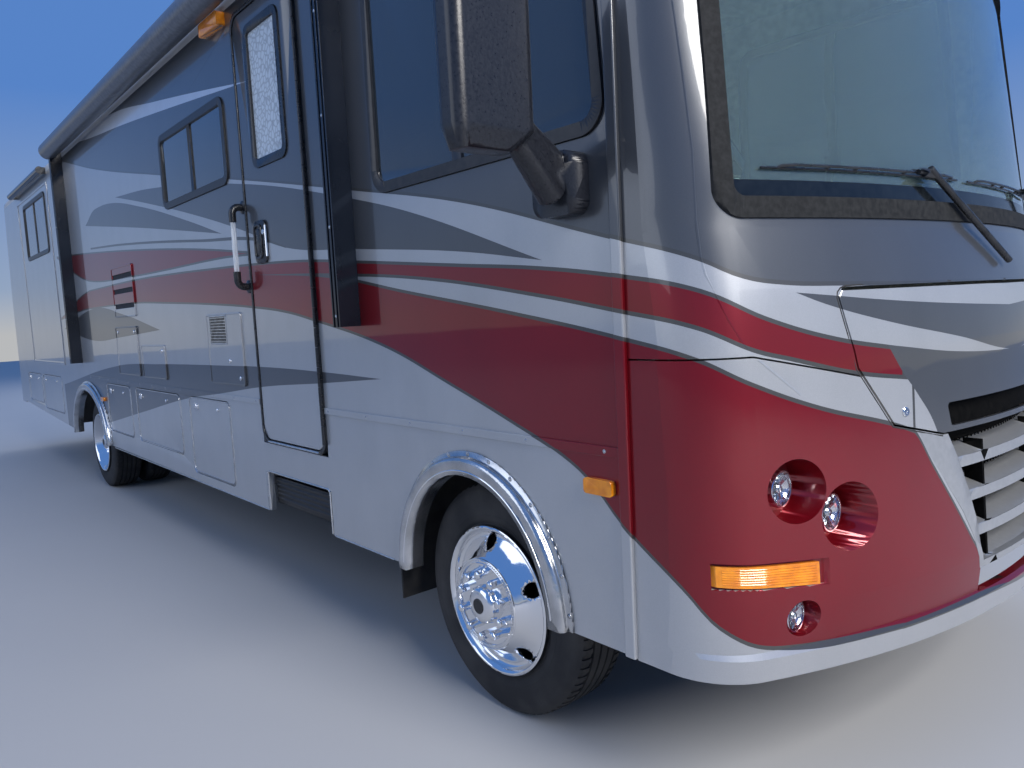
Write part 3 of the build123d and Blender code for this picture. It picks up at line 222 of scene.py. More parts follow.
def round_edges(piece, width, angle=bevel_angle):
    """Round a piece's edges that are sharper than an angle."""
    apply_modifier(piece, "BEVEL", width=width, segments=2, limit_method="ANGLE", angle_limit=angle)


def open_all(piece):
    """Open a piece in edit mode with all of it selected."""
    select_only(piece)
    bpy.ops.object.mode_set(mode="EDIT")
    bpy.ops.mesh.select_all(action="SELECT")


def body_of_node(node):
    """Name of the body that a CAD node belongs to."""
    for body, members in frame["record"]["behaviour"]["bodies"].items():
        if node in members:
            return body


def welded(node, finish, slot, edge=0.0):
    """A welded, smooth shaded copy of a node's mesh, in its finish, that stands for the node."""
    mesh = frame["nodes"][node].data.copy()
    mesh.materials.clear()
    mesh.materials.append(finish)
    piece = bpy.data.objects.new(node + "_finished", mesh)
    bpy.context.scene.collection.objects.link(piece)
    open_all(piece)
    bpy.ops.mesh.remove_doubles(threshold=weld_gap)
    if edge:
        bpy.ops.mesh.dissolve_limited(angle_limit=flat_angle)
    leave_edit()
    if edge:
        round_edges(piece, edge)
    bpy.ops.object.shade_smooth_by_angle(angle=smooth_angle)
    apply_modifier(piece, "WEIGHTED_NORMAL", keep_sharp=True)
    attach(piece, body_of_node(node))
    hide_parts(node)
    return piece


def repaint(piece, finish, chosen):
    """Give the faces that a test of centre and normal chooses another finish."""
    index = len(piece.data.materials)
    piece.data.materials.append(finish)
    for face in piece.data.polygons:
        if chosen(face.center, face.normal):
            face.material_index = index


def pick_faces(piece, chosen):
    """Open a piece in edit mode with just the faces selected that a test chooses."""
    select_only(piece)
    bpy.ops.object.mode_set(mode="EDIT")
    bpy.ops.mesh.select_mode(type="FACE")
    bpy.ops.mesh.select_all(action="DESELECT")
    leave_edit()
    for face in piece.data.polygons:
        face.select = chosen(face.center, face.normal)
    bpy.ops.object.mode_set(mode="EDIT")


chassis_paint = speckled(
    "chassis_paint", (0.020, 0.020, 0.022), (0.060, 0.054, 0.046), 7.0, 0.55, relief=0.0010
)
cast_finish = speckled(
    "cast_finish", (0.030, 0.028, 0.026), (0.105, 0.086, 0.068), 22.0, 0.72, 0.35, relief=0.0012
)
tank_finish = speckled(
    "tank_finish", (0.045, 0.045, 0.047), (0.120, 0.110, 0.098), 5.0, 0.45, 0.6, relief=0.0006
)
deck_finish = speckled(
    "deck_finish", (0.17, 0.12, 0.075), (0.31, 0.23, 0.15), 3.0, 0.70, relief=0.0006,
    stretch=(1, 9, 9)
)
bay_finish = speckled(
    "bay_finish", (0.16, 0.16, 0.165), (0.27, 0.27, 0.275), 12.0, 0.45, 0.3, relief=0.0005
)
under_table = (
    (("chassis_frame", "cross_members", "leaf_springs", "hitch_receiver"),
     chassis_paint, "chassis_black"),
    (("front_axle", "rear_axle", "engine_block", "knuckle_right", "knuckle_left", "tie_rod"),
     cast_finish, "cast_steel"),
    (("fuel_and_exhaust",), tank_finish, "tank"),
    (("floor_deck", "entry_well"), deck_finish, "deck"),
    (("storage_bays_right", "storage_bays_left"), bay_finish, "bay_sheet"),
)
for nodes, finish, slot in under_table:
    for node in nodes:
        welded(node, finish, slot)


# Tyres: black rubber with four round grooves, notched shoulders and a ribbed wall, grey with dust,
# pressed onto the rims. One is made, and the others are its copies, turned over for the left side.
outer_face = 1.235
axle_height = 0.423
twin_shift = 0.285
wheelbase = 5.791
tread_steps = 144
wall_points = (
    (0.0185, 0.2505), (0.0160, 0.258), (0.0145, 0.268), (0.0115, 0.272), (0.0115, 0.279),
    (0.0075, 0.284), (0.0040, 0.297), (0.0012, 0.312), (0.0018, 0.313), (0.0012, 0.332),
    (0.0016, 0.334), (0.0030, 0.352), (0.0062, 0.372), (0.0092, 0.384), (0.0092, 0.387),
    (0.0160, 0.402), (0.0250, 0.4140), (0.0330, 0.4190), (0.0420, 0.4205),
)
groove_middles = (0.0680, 0.1040, 0.1410, 0.1770)
groove_half, groove_deep, tread_crown = 0.0050, 0.0095, 0.0025
tyre_width = 0.245
shoulder_low, shoulder_high, shoulder_wide, notch_deep = 0.4145, 0.4215, 0.060, 0.0045


def draw_out(way):
    """Extrude what is selected by a vector."""
    bpy.ops.mesh.extrude_region_move(TRANSFORM_OT_translate={"value": way})


def close_shape(weld=False):
    """Turn all faces of the piece in edit mode outwards, and leave edit mode."""
    bpy.ops.mesh.select_all(action="SELECT")
    if weld:
        bpy.ops.mesh.remove_doubles(threshold=weld_gap)
    bpy.ops.mesh.normals_make_consistent(inside=False)
    leave_edit()


def traced(points):
    """A chain of vertices through these points, left in edit mode."""
    bpy.ops.object.select_all(action="DESELECT")
    bpy.ops.mesh.primitive_plane_add(size=0.01, location=points[0])
    piece = bpy.context.active_object
    bpy.ops.object.transform_apply(location=True, rotation=True, scale=True)
    bpy.ops.object.mode_set(mode="EDIT")
    bpy.ops.mesh.select_mode(type="VERT")
    bpy.ops.mesh.select_all(action="SELECT")
    bpy.ops.mesh.merge(type="CENTER")
    for spot, following in zip(points, points[1:]):
        draw_out(following - spot)
    bpy.ops.mesh.select_all(action="SELECT")
    return piece


def lathe(profile, centre, axis, steps, outward=(0, 0, 1)):
    """A body turned from (distance along the axis, radius) points about an axis through centre."""
    centre, axis, outward = Vector(centre), Vector(axis), Vector(outward)
    piece = traced([centre + axis * depth + outward * radius for depth, radius in profile])
    bpy.ops.mesh.spin(steps=steps, angle=2 * pi, center=centre, axis=axis)
    close_shape(weld=True)
    return piece


def twin(piece, matrix):
    """A copy of a piece with its own mesh, moved by a matrix and turned outside out if mirrored."""
    mesh = piece.data.copy()
    mesh.transform(matrix)
    if matrix.determinant() < 0:
        mesh.flip_normals()
    made = bpy.data.objects.new(piece.name, mesh)
    bpy.context.scene.collection.objects.link(made)
    return made


def joined(pieces):
    """Several pieces joined into the first one."""
    select_only(pieces[0])
    for piece in pieces:
        piece.select_set(True)
    bpy.ops.object.join()
    return pieces[0]


def fitted(piece, name, finish, body="body", smooth=True):
    """Name a new piece, or the list of its parts joined, and give it its finish and body."""
    if isinstance(piece, list):
        piece = joined(piece)
    piece.name = name
    piece.data.materials.clear()
    piece.data.materials.append(finish)
    if smooth:
        select_only(piece)
        bpy.ops.object.shade_smooth_by_angle(angle=smooth_angle)
    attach(piece, body)
    return piece


tyre_rubber, tree, shader, place = new_material("tyre_rubber", {"Roughness": 0.80})
set_inputs(tree, shader, {
    "Base Color": color_ramp(tree, clouds(tree, place, 7.0, 8.0),
                             (0.38, (0.012, 0.012, 0.013, 1)), (0.75, (0.042, 0.039, 0.036, 1))),
    "Normal": bumped(tree, clouds(tree, place, 380.0), 0.35, 0.0006),
})

profile = list(wall_points)
for middle in groove_middles:
    crown = axle_height - tread_crown * abs(middle - tyre_width / 2) / (tyre_width / 2)
    floor_r = crown - groove_deep
    profile += [
        (middle - groove_half, crown), (middle - 0.7 * groove_half, floor_r),
        (middle + 0.7 * groove_half, floor_r), (middle + groove_half, crown),
    ]
profile += [(tyre_width - depth, radius) for depth, radius in reversed(wall_points)]
profile.append(profile[0])
axle_middle = (front_axle, -outer_face, axle_height)
tyre = lathe(profile, axle_middle, (0, 1, 0), tread_steps)


def is_notch(centre, normal):
    spoke = centre - Vector(axle_middle)
    reach = sqrt(spoke.x ** 2 + spoke.z ** 2)
    from_wall = min(spoke.y, tyre_width - spoke.y)
    step = int((atan2(spoke.z, spoke.x) / (2 * pi) + 1) * tread_steps)
    return from_wall < shoulder_wide and shoulder_low < reach < shoulder_high and step % 2 == 0


pick_faces(tyre, is_notch)
bpy.ops.mesh.extrude_region_shrink_fatten(TRANSFORM_OT_shrink_fatten={"value": -notch_deep})
leave_edit()
tyre_table = (
    ("tyre_front_right", 0.0, False, (0.0,)),
    ("tyre_front_left", 0.0, True, (0.0,)),
    ("tyres_rear_right", -wheelbase, False, (0.0, twin_shift)),
    ("tyres_rear_left", -wheelbase, True, (0.0, twin_shift)),
)
over_turn = Matrix.Diagonal((1, -1, 1, 1))
for node, shift, left, depths in tyre_table:
    copies = []
    for depth in depths:
        place_it = Matrix.Translation((shift, depth, 0))
        copies.append(twin(tyre, over_turn @ place_it if left else place_it))
    piece = fitted(copies, node + "_rubber", tyre_rubber, body_of_node(node))
    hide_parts(node)
bpy.data.objects.remove(tyre)


# Wheels: steel rims under bright pressed liners, with chromed nut covers on ten studs, a stepped
# ring round them, and a hub cover whose dark middle disc clips in. They turn on the hubs.
chrome, tree, shader, place = new_material(
    "chrome", {"Metallic": 1.0, "Roughness": 0.08, "Base Color": (0.80, 0.81, 0.83, 1)}
)
set_inputs(tree, shader, {"Roughness": ranged(tree, clouds(tree, place, 14.0, 6.0), 0.03, 0.16)})
rim_steel = speckled(
    "rim_steel", (0.035, 0.034, 0.034), (0.105, 0.098, 0.090), 16.0, 0.50, 0.6, relief=0.0006
)
hub_black = speckled("hub_black", (0.008, 0.008, 0.009), (0.018, 0.018, 0.019), 60.0, 0.30)

nut_count, nut_ring = 10, 0.112
nut_across, nut_high = 0.0165, 0.034
nut_bevel, nut_angle, nut_skirt = 0.0012, radians(30), 0.0045
step_rings = ((0.150, 0.0045), (0.161, 0.0035))
liner_radius, dish_depth = 0.246, 0.036
# Node, shift from the front axle, left side, and depths in the wheel: of the nuts, of the end of
# the bright liner and of the rings. Then the hub cover's depth and radius.
wheel_table = (
    ("wheel_front_right", 0.0, False, -0.045, 0.055, -0.0500, (0.081, 0.038)),
    ("wheel_front_left", 0.0, True, -0.045, 0.055, -0.0500, (0.081, 0.038)),
    ("wheel_rear_right", -wheelbase, False, 0.114, 0.140, 0.1190, (-0.010, 0.040)),
    ("wheel_rear_left", -wheelbase, True, 0.114, 0.140, 0.1190, (-0.010, 0.040)),
)
for node, shift, left, nut_seat, bright_to, ring_depth, (cap_out, cap_radius) in wheel_table:
    side = 1 if left else -1
    middle = Vector((front_axle + shift, side * outer_face, axle_height))
    liner = welded(node, chrome, "bright_wheel")

    def hidden_steel(centre, normal):
        depth = side * (middle.y - centre.y)
        reach = sqrt((centre.x - middle.x) ** 2 + (centre.z - middle.z) ** 2)
        facing = side * normal.y
        behind = facing < -0.3 and reach < liner_radius
        return depth > bright_to or behind or (facing < 0.05 and depth > dish_depth)

    repaint(liner, rim_steel, hidden_steel)
    bpy.ops.object.select_all(action="DESELECT")
    nut_middle = middle + Vector((0, -side * (nut_seat - nut_high / 2), nut_ring))
    bpy.ops.mesh.primitive_cylinder_add(vertices=6, radius=nut_across, depth=nut_high,
                                        location=nut_middle, rotation=(pi / 2, 0, 0))
    nut = bpy.context.active_object
    bpy.ops.object.transform_apply(location=True, rotation=True, scale=True)
    pick_faces(nut, lambda c, n: n.y * side > 0.9)
    bpy.ops.mesh.inset(thickness=0.0035, depth=0.0045)
    bpy.ops.mesh.inset(thickness=0.0050, depth=0.0022)
    leave_edit()
    pick_faces(nut, lambda c, n: n.y * side < -0.9)
    bpy.ops.mesh.inset(thickness=-nut_skirt, depth=0.0)
    draw_out((0, side * -0.002, 0))
    leave_edit()
    round_edges(nut, nut_bevel, nut_angle)
    nuts = [nut]
    for index in range(1, nut_count):
        turn = Matrix.Rotation(2 * pi * index / nut_count, 4, "Y")
        nuts.append(twin(nut, Matrix.Translation(middle) @ turn @ Matrix.Translation(-middle)))
    trims = [joined(nuts)]
    for radius, thick in step_rings:
        ring = [
            (ring_depth + thick * cos(pi * turn / 4), radius + thick * sin(pi * turn / 4))
            for turn in range(8)
        ]
        trims.append(lathe(ring + ring[:1], middle, (0, -side, 0), 64))
    fitted(trims, node + "_nuts", chrome, body_of_node(node))
    cap = lathe(
        [(cap_out - 0.004, cap_radius * 0.74), (cap_out + 0.0018, cap_radius * 0.72),
         (cap_out + 0.0030, cap_radius * 0.66), (cap_out + 0.0016, cap_radius * 0.60),
         (cap_out + 0.0022, 0.004), (cap_out + 0.0022, 0.0)],
        middle, (0, side, 0), 40,
    )
    fitted(cap, node + "_cap", hub_black, body_of_node(node))


# Painted panels: moulded and laminated fibreglass with a metallic base coat under clear lacquer.
# Silver all over, charcoal above and in daggers, pale swooshes, and red fields edged in dark grey.
silver = (0.47, 0.48, 0.49, 1)
charcoal = (0.095, 0.100, 0.108, 1)
pale = (0.68, 0.69, 0.71, 1)
red = (0.215, 0.003, 0.010, 1)
line_grey = (0.085, 0.085, 0.082, 1)
line_width = 0.012
curve_height = 3.5
half_width = 1.295

# Edges of the coloured fields: (station ahead of the front axle, height), measured round the nose.
charcoal_low = (
    (-7.6, 3.40), (-5.83, 3.00), (-4.79, 2.76), (-3.12, 2.44), (-1.80, 2.199), (-0.70, 1.984),
    (0.01, 1.838), (0.675, 1.648), (0.96, 1.572), (1.13, 1.519), (1.285, 1.500), (1.53, 1.491),
    (2.6, 1.475),
)
charcoal_top = ((-7.6, 3.48), (2.6, 3.48))
swoosh_top = ((-5.6, 3.12), (-4.05, 3.03), (-3.16, 2.894), (-2.34, 2.761), (-1.66, 2.645))
swoosh_low = ((-5.6, 3.10), (-4.94, 3.015), (-3.90, 2.908), (-2.98, 2.803), (-1.66, 2.645))
dagger_top = (
    (-4.28, 2.456), (-3.4, 2.388), (-1.80, 2.169), (-0.708, 1.940), (-0.262, 1.823), (0.39, 1.604),
)
dagger_low = (
    (-4.28, 2.456), (-3.5, 2.305), (-2.49, 2.090), (-1.87, 1.941), (-1.38, 1.808),
    (-0.70, 1.738), (0.0, 1.664), (0.39, 1.604),
)
blade_top = (
    (-5.3, 2.36), (-4.9, 2.452), (-4.40, 2.429), (-3.68, 2.308), (-2.72, 2.095), (-2.18, 1.959)
)
blade_low = ((-5.3, 2.36), (-3.67, 2.159), (-2.73, 2.034), (-2.18, 1.959))
hair_top = ((-5.2, 2.165), (-4.16, 2.101), (-2.53, 1.964), (-1.58, 1.866), (-1.38, 1.812))
hair_low = ((-5.2, 2.150), (-4.16, 2.085), (-2.53, 1.948), (-1.58, 1.852), (-1.38, 1.806))
wedge_top = (
    (-6.6, 2.20), (-5.2, 2.115), (-3.91, 2.021), (-3.06, 1.950), (-2.35, 1.880), (-1.85, 1.822)
)
wedge_low = (
    (-6.6, 2.20), (-5.4, 1.905), (-3.95, 1.851), (-3.32, 1.843), (-2.19, 1.835), (-1.85, 1.822)
)
red_top = (
    (-6.7, 1.60), (-5.4, 1.805), (-3.96, 1.809), (-3.1, 1.795), (-2.38, 1.774), (-1.84, 1.756),
    (-1.15, 1.721), (-0.67, 1.677), (-0.01, 1.613), (0.378, 1.575), (0.663, 1.535), (0.958, 1.479),
    (1.217, 1.395), (1.493, 1.333), (1.80, 1.290),
)
red_low = (
    (-6.7, 1.60), (-5.4, 1.665), (-3.99, 1.657), (-3.16, 1.623), (-2.43, 1.587), (-1.88, 1.552),
    (-1.43, 1.511), (-1.16, 1.468), (-0.55, 1.349), (-0.12, 1.214), (0.235, 1.094), (0.43, 1.023),
    (0.54, 0.963), (0.68, 0.838), (0.87, 0.709), (1.024, 0.597), (1.206, 0.540), (1.80, 0.520),
)
parting_top = (
    (-1.75, 1.705), (-0.914, 1.654), (-0.216, 1.592), (0.374, 1.504), (0.677, 1.449),
    (0.953, 1.395), (1.158, 1.330), (1.308, 1.300), (1.572, 1.250), (1.86, 1.216),
)
parting_low = (
    (-1.75, 1.705), (-0.917, 1.632), (-0.368, 1.541), (0.262, 1.439), (0.673, 1.364),
    (0.939, 1.304), (1.134, 1.235), (1.399, 1.158), (1.772, 1.077), (1.86, 1.052),
)
bumper_top = (
    (1.78, 1.076), (1.847, 1.059), (1.952, 0.942), (2.075, 0.805), (2.200, 0.662), (2.26, 0.603),
    (2.6, 0.600),
)
bumper_low = ((1.78, 0.520), (2.2, 0.523), (2.6, 0.504))
hood_top = ((1.33, 1.467), (1.482, 1.455), (1.709, 1.437), (2.03, 1.417), (2.6, 1.392))
hood_low = (
    (1.33, 1.467), (1.459, 1.432), (1.741, 1.375), (2.135, 1.313), (2.50, 1.253), (2.6, 1.252),
)
shield_top = ((1.734, 1.310), (2.128, 1.269), (2.50, 1.253), (2.6, 1.252))
shield_low = (
    (1.734, 1.308), (1.81, 1.224), (1.87, 1.170), (1.975, 1.052), (1.985, 1.031), (2.6, 1.031)
)
tail_top = (
    (-6.9, 0.93), (-4.56, 1.179), (-3.59, 1.207), (-2.52, 1.223), (-1.74, 1.230), (-1.085, 1.222),
    (-0.592, 1.208),
)
tail_low = (
    (-6.9, 0.40), (-4.97, 0.696), (-4.09, 0.833), (-2.99, 0.999), (-2.39, 1.061), (-1.76, 1.127),
    (-1.09, 1.172), (-0.592, 1.208),
)
flag_top = ((-6.6, 1.50), (-5.18, 1.655), (-4.46, 1.591), (-3.47, 1.445))
flag_low = ((-6.6, 1.50), (-5.2, 1.373), (-4.6, 1.396), (-3.47, 1.445))
# Groups of fields, painted in turn: top edge, low edge, colour, width of the grey line round it.
# Within a group the lines go on before the colours, so that fields that meet have none between.
field_groups = (
    ((charcoal_top, charcoal_low, charcoal, line_width),),
    ((swoosh_top, swoosh_low, pale, 0.0),),
    ((dagger_top, dagger_low, charcoal, 0.0), (blade_top, blade_low, charcoal, 0.0)),
    ((hair_top, hair_low, line_grey, 0.0), (tail_top, tail_low, charcoal, 0.0)),
    ((flag_top, flag_low, charcoal, 0.0),),
    ((wedge_top, wedge_low, red, line_width), (red_top, red_low, red, line_width),
     (bumper_top, bumper_low, red, line_width)),
    ((parting_top, parting_low, silver, -line_width),),
    ((hood_top, hood_low, charcoal, 0.0), (shield_top, shield_low, charcoal, 0.0)),
)


def blend_color(tree, factor, first, second):
    """Mix of two colours, each a colour or another node's output."""
    made = tree.nodes.new("ShaderNodeMix")
    made.data_type = "RGBA"
    set_inputs(tree, made, {"Factor": factor, "A": first, "B": second})
    return made.outputs["Result"]


def math_node(tree, what, *values):
    """One arithmetic node; each input is a number or another node's output."""
    made = tree.nodes.new("ShaderNodeMath")
    made.operation = what
    set_inputs(tree, made, dict(enumerate(values)))
    return made.outputs[0]


def edge_height(tree, station, points):
    """Height of a field's edge at each station, from a smooth curve through its points."""
    start, end = points[0][0], points[-1][0]
    reach = end - start
    share = math_node(tree, "MULTIPLY_ADD", station, 1 / reach, -start / reach)
    curve = tree.nodes.new("ShaderNodeFloatCurve")
    line = curve.mapping.curves[0]
    for index, (x, z) in enumerate(points):
        spot = ((x - start) / reach, z / curve_height)
        if index in (0, len(points) - 1):
            line.points[-1 if index else 0].location = spot
        else:
            line.points.new(*spot)
    for point in line.points:
        point.handle_type = "AUTO_CLAMPED"
    curve.mapping.update()
    set_inputs(tree, curve, {"Value": share})
    return math_node(tree, "MULTIPLY", curve.outputs[0], curve_height)


def field_mask(tree, station, height, edges, grown):
    """1 inside a field that is grown all round by a width, 0 outside."""
    top, low, start, end = edges
    under = math_node(tree, "LESS_THAN", height, math_node(tree, "ADD", top, grown))
    over = math_node(tree, "GREATER_THAN", height, math_node(tree, "SUBTRACT", low, grown))
    after = math_node(tree, "GREATER_THAN", station, start - grown)
    before = math_node(tree, "LESS_THAN", station, end + grown)
    inside = math_node(tree, "MULTIPLY", under, over)
    between = math_node(tree, "MULTIPLY", after, before)
    return math_node(tree, "MULTIPLY", inside, between)


body_paint, tree, shader, place = new_material("body_paint", {
    "Metallic": 0.50, "Roughness": 0.30, "Coat Weight": 0.7, "Coat Roughness": 0.03
})
x_way, y_way, height = add_node(tree, "SeparateXYZ", {"Vector": place}).outputs
side_gap = math_node(tree, "SUBTRACT", half_width, math_node(tree, "ABSOLUTE", y_way))
wrap = math_node(tree, "MULTIPLY", side_gap, math_node(tree, "SIGN", x_way))
station = math_node(tree, "ADD", math_node(tree, "SUBTRACT", x_way, front_axle), wrap)
color = silver
for group in field_groups:
    placed = []
    for top_points, low_points, field_color, edge in group:
        top = edge_height(tree, station, top_points)
        low = edge_height(tree, station, low_points)
        placed.append((top, low, top_points[0][0], top_points[-1][0]))
        if edge:
            lined = field_mask(tree, station, height, placed[-1], max(edge, 0.0))
            color = blend_color(tree, lined, color, line_grey)
    for edges, (top_points, low_points, field_color, edge) in zip(placed, group):
        inside = field_mask(tree, station, height, edges, min(edge, 0.0))
        color = blend_color(tree, inside, color, field_color)
# The metal flakes' glints are painted into the colour as tiny bright and dark specks, times a
# cloudy grime that darkens it a little.
flakes = add_node(tree, "TexVoronoi", {"Vector": place, "Scale": 900.0}).outputs["Color"]
film = add_node(tree, "Mapping", {"Vector": place, "Scale": (1.6, 1.6, 0.8)}).outputs["Vector"]
grime = ranged(tree, clouds(tree, film, 4.0, 6.0), 1.0, 0.93, 0.35, 0.75)
painted_glint_and_grime = math_node(tree, "MULTIPLY", ranged(tree, flakes, 0.92, 1.06), grime)
sparkle = tree.nodes.new("ShaderNodeVectorMath")
sparkle.operation = "SCALE"
set_inputs(tree, sparkle, {0: color, "Scale": painted_glint_and_grime})
ripple = bumped(tree, clouds(tree, place, 1.6, 1.0), 0.30, 0.004)
set_inputs(tree, shader, {
    "Base Color": sparkle.outputs[0], "Normal": ripple, "Coat Normal": ripple
})

inner_lining = speckled(
    "inner_lining", (0.27, 0.24, 0.20), (0.37, 0.33, 0.28), 26.0, 0.75, relief=0.0004
)
cabin_middle = Vector((front_axle, 0.0, 1.8))
cabin_front, cabin_back, brow_height = front_axle + 0.5, -4.9, 2.75
thickest_wall, off_face = 0.30, 0.0005


def faces_cabin(piece):
    """A test for faces that have a wall of their own piece between them and the outside."""
    bpy.context.view_layer.update()

    def chosen(centre, normal):
        spoke = centre - cabin_middle
        if centre.x < cabin_front:
            spoke.x = 0.0 if centre.x > cabin_back else -1.0
            spoke.z = 0.0
        elif centre.z < brow_height:
            spoke.z = 0.0
        spoke.normalize()
        start = centre + normal * off_face + spoke * 2 * off_face
        return normal.dot(spoke) < 0.3 and piece.ray_cast(start, spoke, distance=thickest_wall)[0]

    return chosen


# Lamp wells: distance from the middle, height, radius of the mouth, station of the floor.
well_table = (
    (1.056, 0.947, 0.087, 0.999), (0.896, 0.858, 0.095, 1.049), (1.053, 0.604, 0.051, 1.037)
)


def in_well(centre):
    """Whether a face belongs to a headlamp's or fog lamp's well, which is painted like the nose."""
    for across, height, mouth, floor_x in well_table:
        reach = sqrt((abs(centre.y) - across) ** 2 + (centre.z - height) ** 2)
        if reach < mouth and centre.x > front_axle + floor_x:
            return True
    return False


corner_reach, least_forward, least_alike, nearest_weight = 0.09, 0.04, 0.85, 1.05


def even_normals(piece):
    """Shade the nose's outer skin, whose facets are long, by averaged normals."""
    mesh = piece.data
    skin = [face for face in mesh.polygons if face.normal.x > least_forward]
    tree = KDTree(len(skin))
    for index, face in enumerate(skin):
        tree.insert(face.center, index)
    tree.balance()
    normals = [corner.vector.copy() for corner in mesh.corner_normals]
    known = {}
    for face in skin:
        for loop in face.loop_indices:
            vertex = mesh.loops[loop].vertex_index
            key = (vertex, round(face.normal.y, 1), round(face.normal.z, 1))
            if key not in known:
                total = face.normal * face.area
                for centre, index, gap in tree.find_range(mesh.vertices[vertex].co, corner_reach):
                    near = skin[index]
                    if near.normal.dot(face.normal) > least_alike:
                        weight = nearest_weight - gap / corner_reach
                        total += near.normal * near.area * weight
                known[key] = total.normalized()
            normals[loop] = known[key]
    mesh.normals_split_custom_set(normals)


for node in ("side_walls", "skirts", "rear_cap", "front_cap", "front_mask", "hood"):
    panel = welded(node, body_paint, "paint")
    covered = faces_cabin(panel)
    repaint(panel, inner_lining, lambda c, n: not in_well(c) and covered(c, n))
    if node in ("front_cap", "front_mask", "hood"):
        even_normals(panel)
for node in ("belt_rails", "service_hatches"):
    welded(node, body_paint, "paint", edge=0.0015)


# Roof: one moulded skin of pale fibreglass, crowned to shed water, chalky from the sun.
roof_skin = speckled("roof_skin", (0.52, 0.51, 0.49), (0.59, 0.58, 0.56), 5.0, 0.55, relief=0.0006)
lining_top, lining_half = 3.25, 1.25


def under_roof(centre, normal):
    beneath = normal.z < -0.2 and centre.z < lining_top
    return beneath or abs(normal.z) < 0.2 and abs(centre.y) < lining_half


repaint(welded("roof", roof_skin, "roof_skin"), inner_lining, under_roof)


# Side windows: dark tinted panes in rounded black frames, clamped into the wall, with a sliding
# half behind the divider and a rubber lip round each light. The two big ones light the cab.
frame_black = speckled(
    "frame_black", (0.012, 0.012, 0.013), (0.026, 0.025, 0.025), 30.0, 0.35, relief=0.0003
)
tinted_glass, tree, shader, place = new_material("tinted_glass", {
    "Base Color": (0.07, 0.085, 0.095, 1), "Roughness": 0.02, "Transmission Weight": 0.60,
    "IOR": 1.5, "Coat Weight": 1.0,
})
smear = ranged(tree, clouds(tree, place, 5.0, 5.0), 0.01, 0.10, 0.4)
set_inputs(tree, shader, {"Roughness": smear})

pane_out, pane_in = 0.0015, 0.0085


def is_pane(centre, normal):
    """Whether a face belongs to a pane, which lies just inside the wall's outer face."""
    inside = half_width - abs(centre.y)
    return pane_out < inside < pane_in and abs(normal.y) > 0.9


repaint(welded("window_units", frame_black, "window"), tinted_glass, is_pane)


# Slide-out rooms: laminated boxes painted like the walls, lined inside, with a painted flange that
# covers the gap round the room and a window in the outer wall. They run on rams under the floor.
slide_table = (
    ("slide_out_right", -1, (-8.480, -6.760), (-8.150, -6.900), (2.283, 2.900)),
    ("slide_out_left", 1, (-4.300, -1.150), (-2.900, -1.900), (2.205, 2.700)),
)
slide_heights = (1.150, 2.960)
room_skin, flange_lap, flange_thick, flange_wide = 0.022, 0.020, 0.006, 0.034
deepest_frame = 0.062


def spaced(start, end, steps):
    """Evenly spaced values from start to end."""
    return [start + (end - start) * index / steps for index in range(steps + 1)]


def rounded(stations, heights, corner):
    """Outline of a rounded rectangle as (station, height) points."""
    points = []
    for right, up, start in ((1, 1, 0), (0, 1, 90), (0, 0, 180), (1, 0, 270)):
        middle_x = stations[1] - corner if right else stations[0] + corner
        middle_z = heights[1] - corner if up else heights[0] + corner
        for turn in spaced(start, start + 90, 5):
            spoke = radians(turn)
            points.append((middle_x + corner * cos(spoke), middle_z + corner * sin(spoke)))
    return points


def plate(outline, depths, width=0.0, edge=0.0):
    """A flat piece of a side outline between two Y values, or a rim of that width along it."""
    piece = traced([Vector((front_axle + x, depths[0], z)) for x, z in outline])
    bpy.ops.mesh.edge_face_add()
    if width:
        bpy.ops.mesh.inset(thickness=width, depth=0.0)
        bpy.ops.mesh.delete(type="FACE")
        bpy.ops.mesh.select_all(action="SELECT")
    draw_out((0, depths[1] - depths[0], 0))
    close_shape()
    if edge:
        round_edges(piece, edge)
    return piece


def wall_plate(stations, heights, corner, low, high, width=0.0, edge=0.0, side=-1):
    """A plate with rounded corners, from one distance outside the wall's face to another."""
    depths = (side * (half_width + low), side * (half_width + high))
    return plate(rounded(stations, heights, corner), depths, width, edge)


def within(stations, heights):
    """A test for faces inside an opening of the side wall, such as those of a window frame."""
    def chosen(centre, normal):
        along = centre.x - front_axle
        return (stations[0] < along < stations[1] and heights[0] < centre.z < heights[1]
                and abs(centre.y) > half_width - deepest_frame)
    return chosen


def glaze(piece, stations, heights, border, pane):
    """Give the frame and the pane of a piece's window their finishes."""
    in_window = within(stations, heights)
    repaint(piece, border, in_window)
    repaint(piece, pane, lambda c, n: in_window(c, n) and is_pane(c, n))


def widened(span, more):
    """A span with more on both sides."""
    return span[0] - more, span[1] + more


for node, side, span, window_x, window_z in slide_table:
    room = welded(node, body_paint, "paint")
    lined_x, lined_z = widened(span, -room_skin), widened(slide_heights, -room_skin)

    def inside_room(centre, normal):
        return (lined_x[0] < centre.x - front_axle < lined_x[1]
                and lined_z[0] < centre.z < lined_z[1]
                and abs(centre.y) < half_width - room_skin)

    repaint(room, inner_lining, inside_room)
    glaze(room, window_x, window_z, frame_black, tinted_glass)
    flange = wall_plate(widened(span, flange_lap), widened(slide_heights, flange_lap), 0.03,
                        0.0, flange_thick, flange_wide, 0.002, side)
    fitted(flange, node + "_flange", body_paint, node)


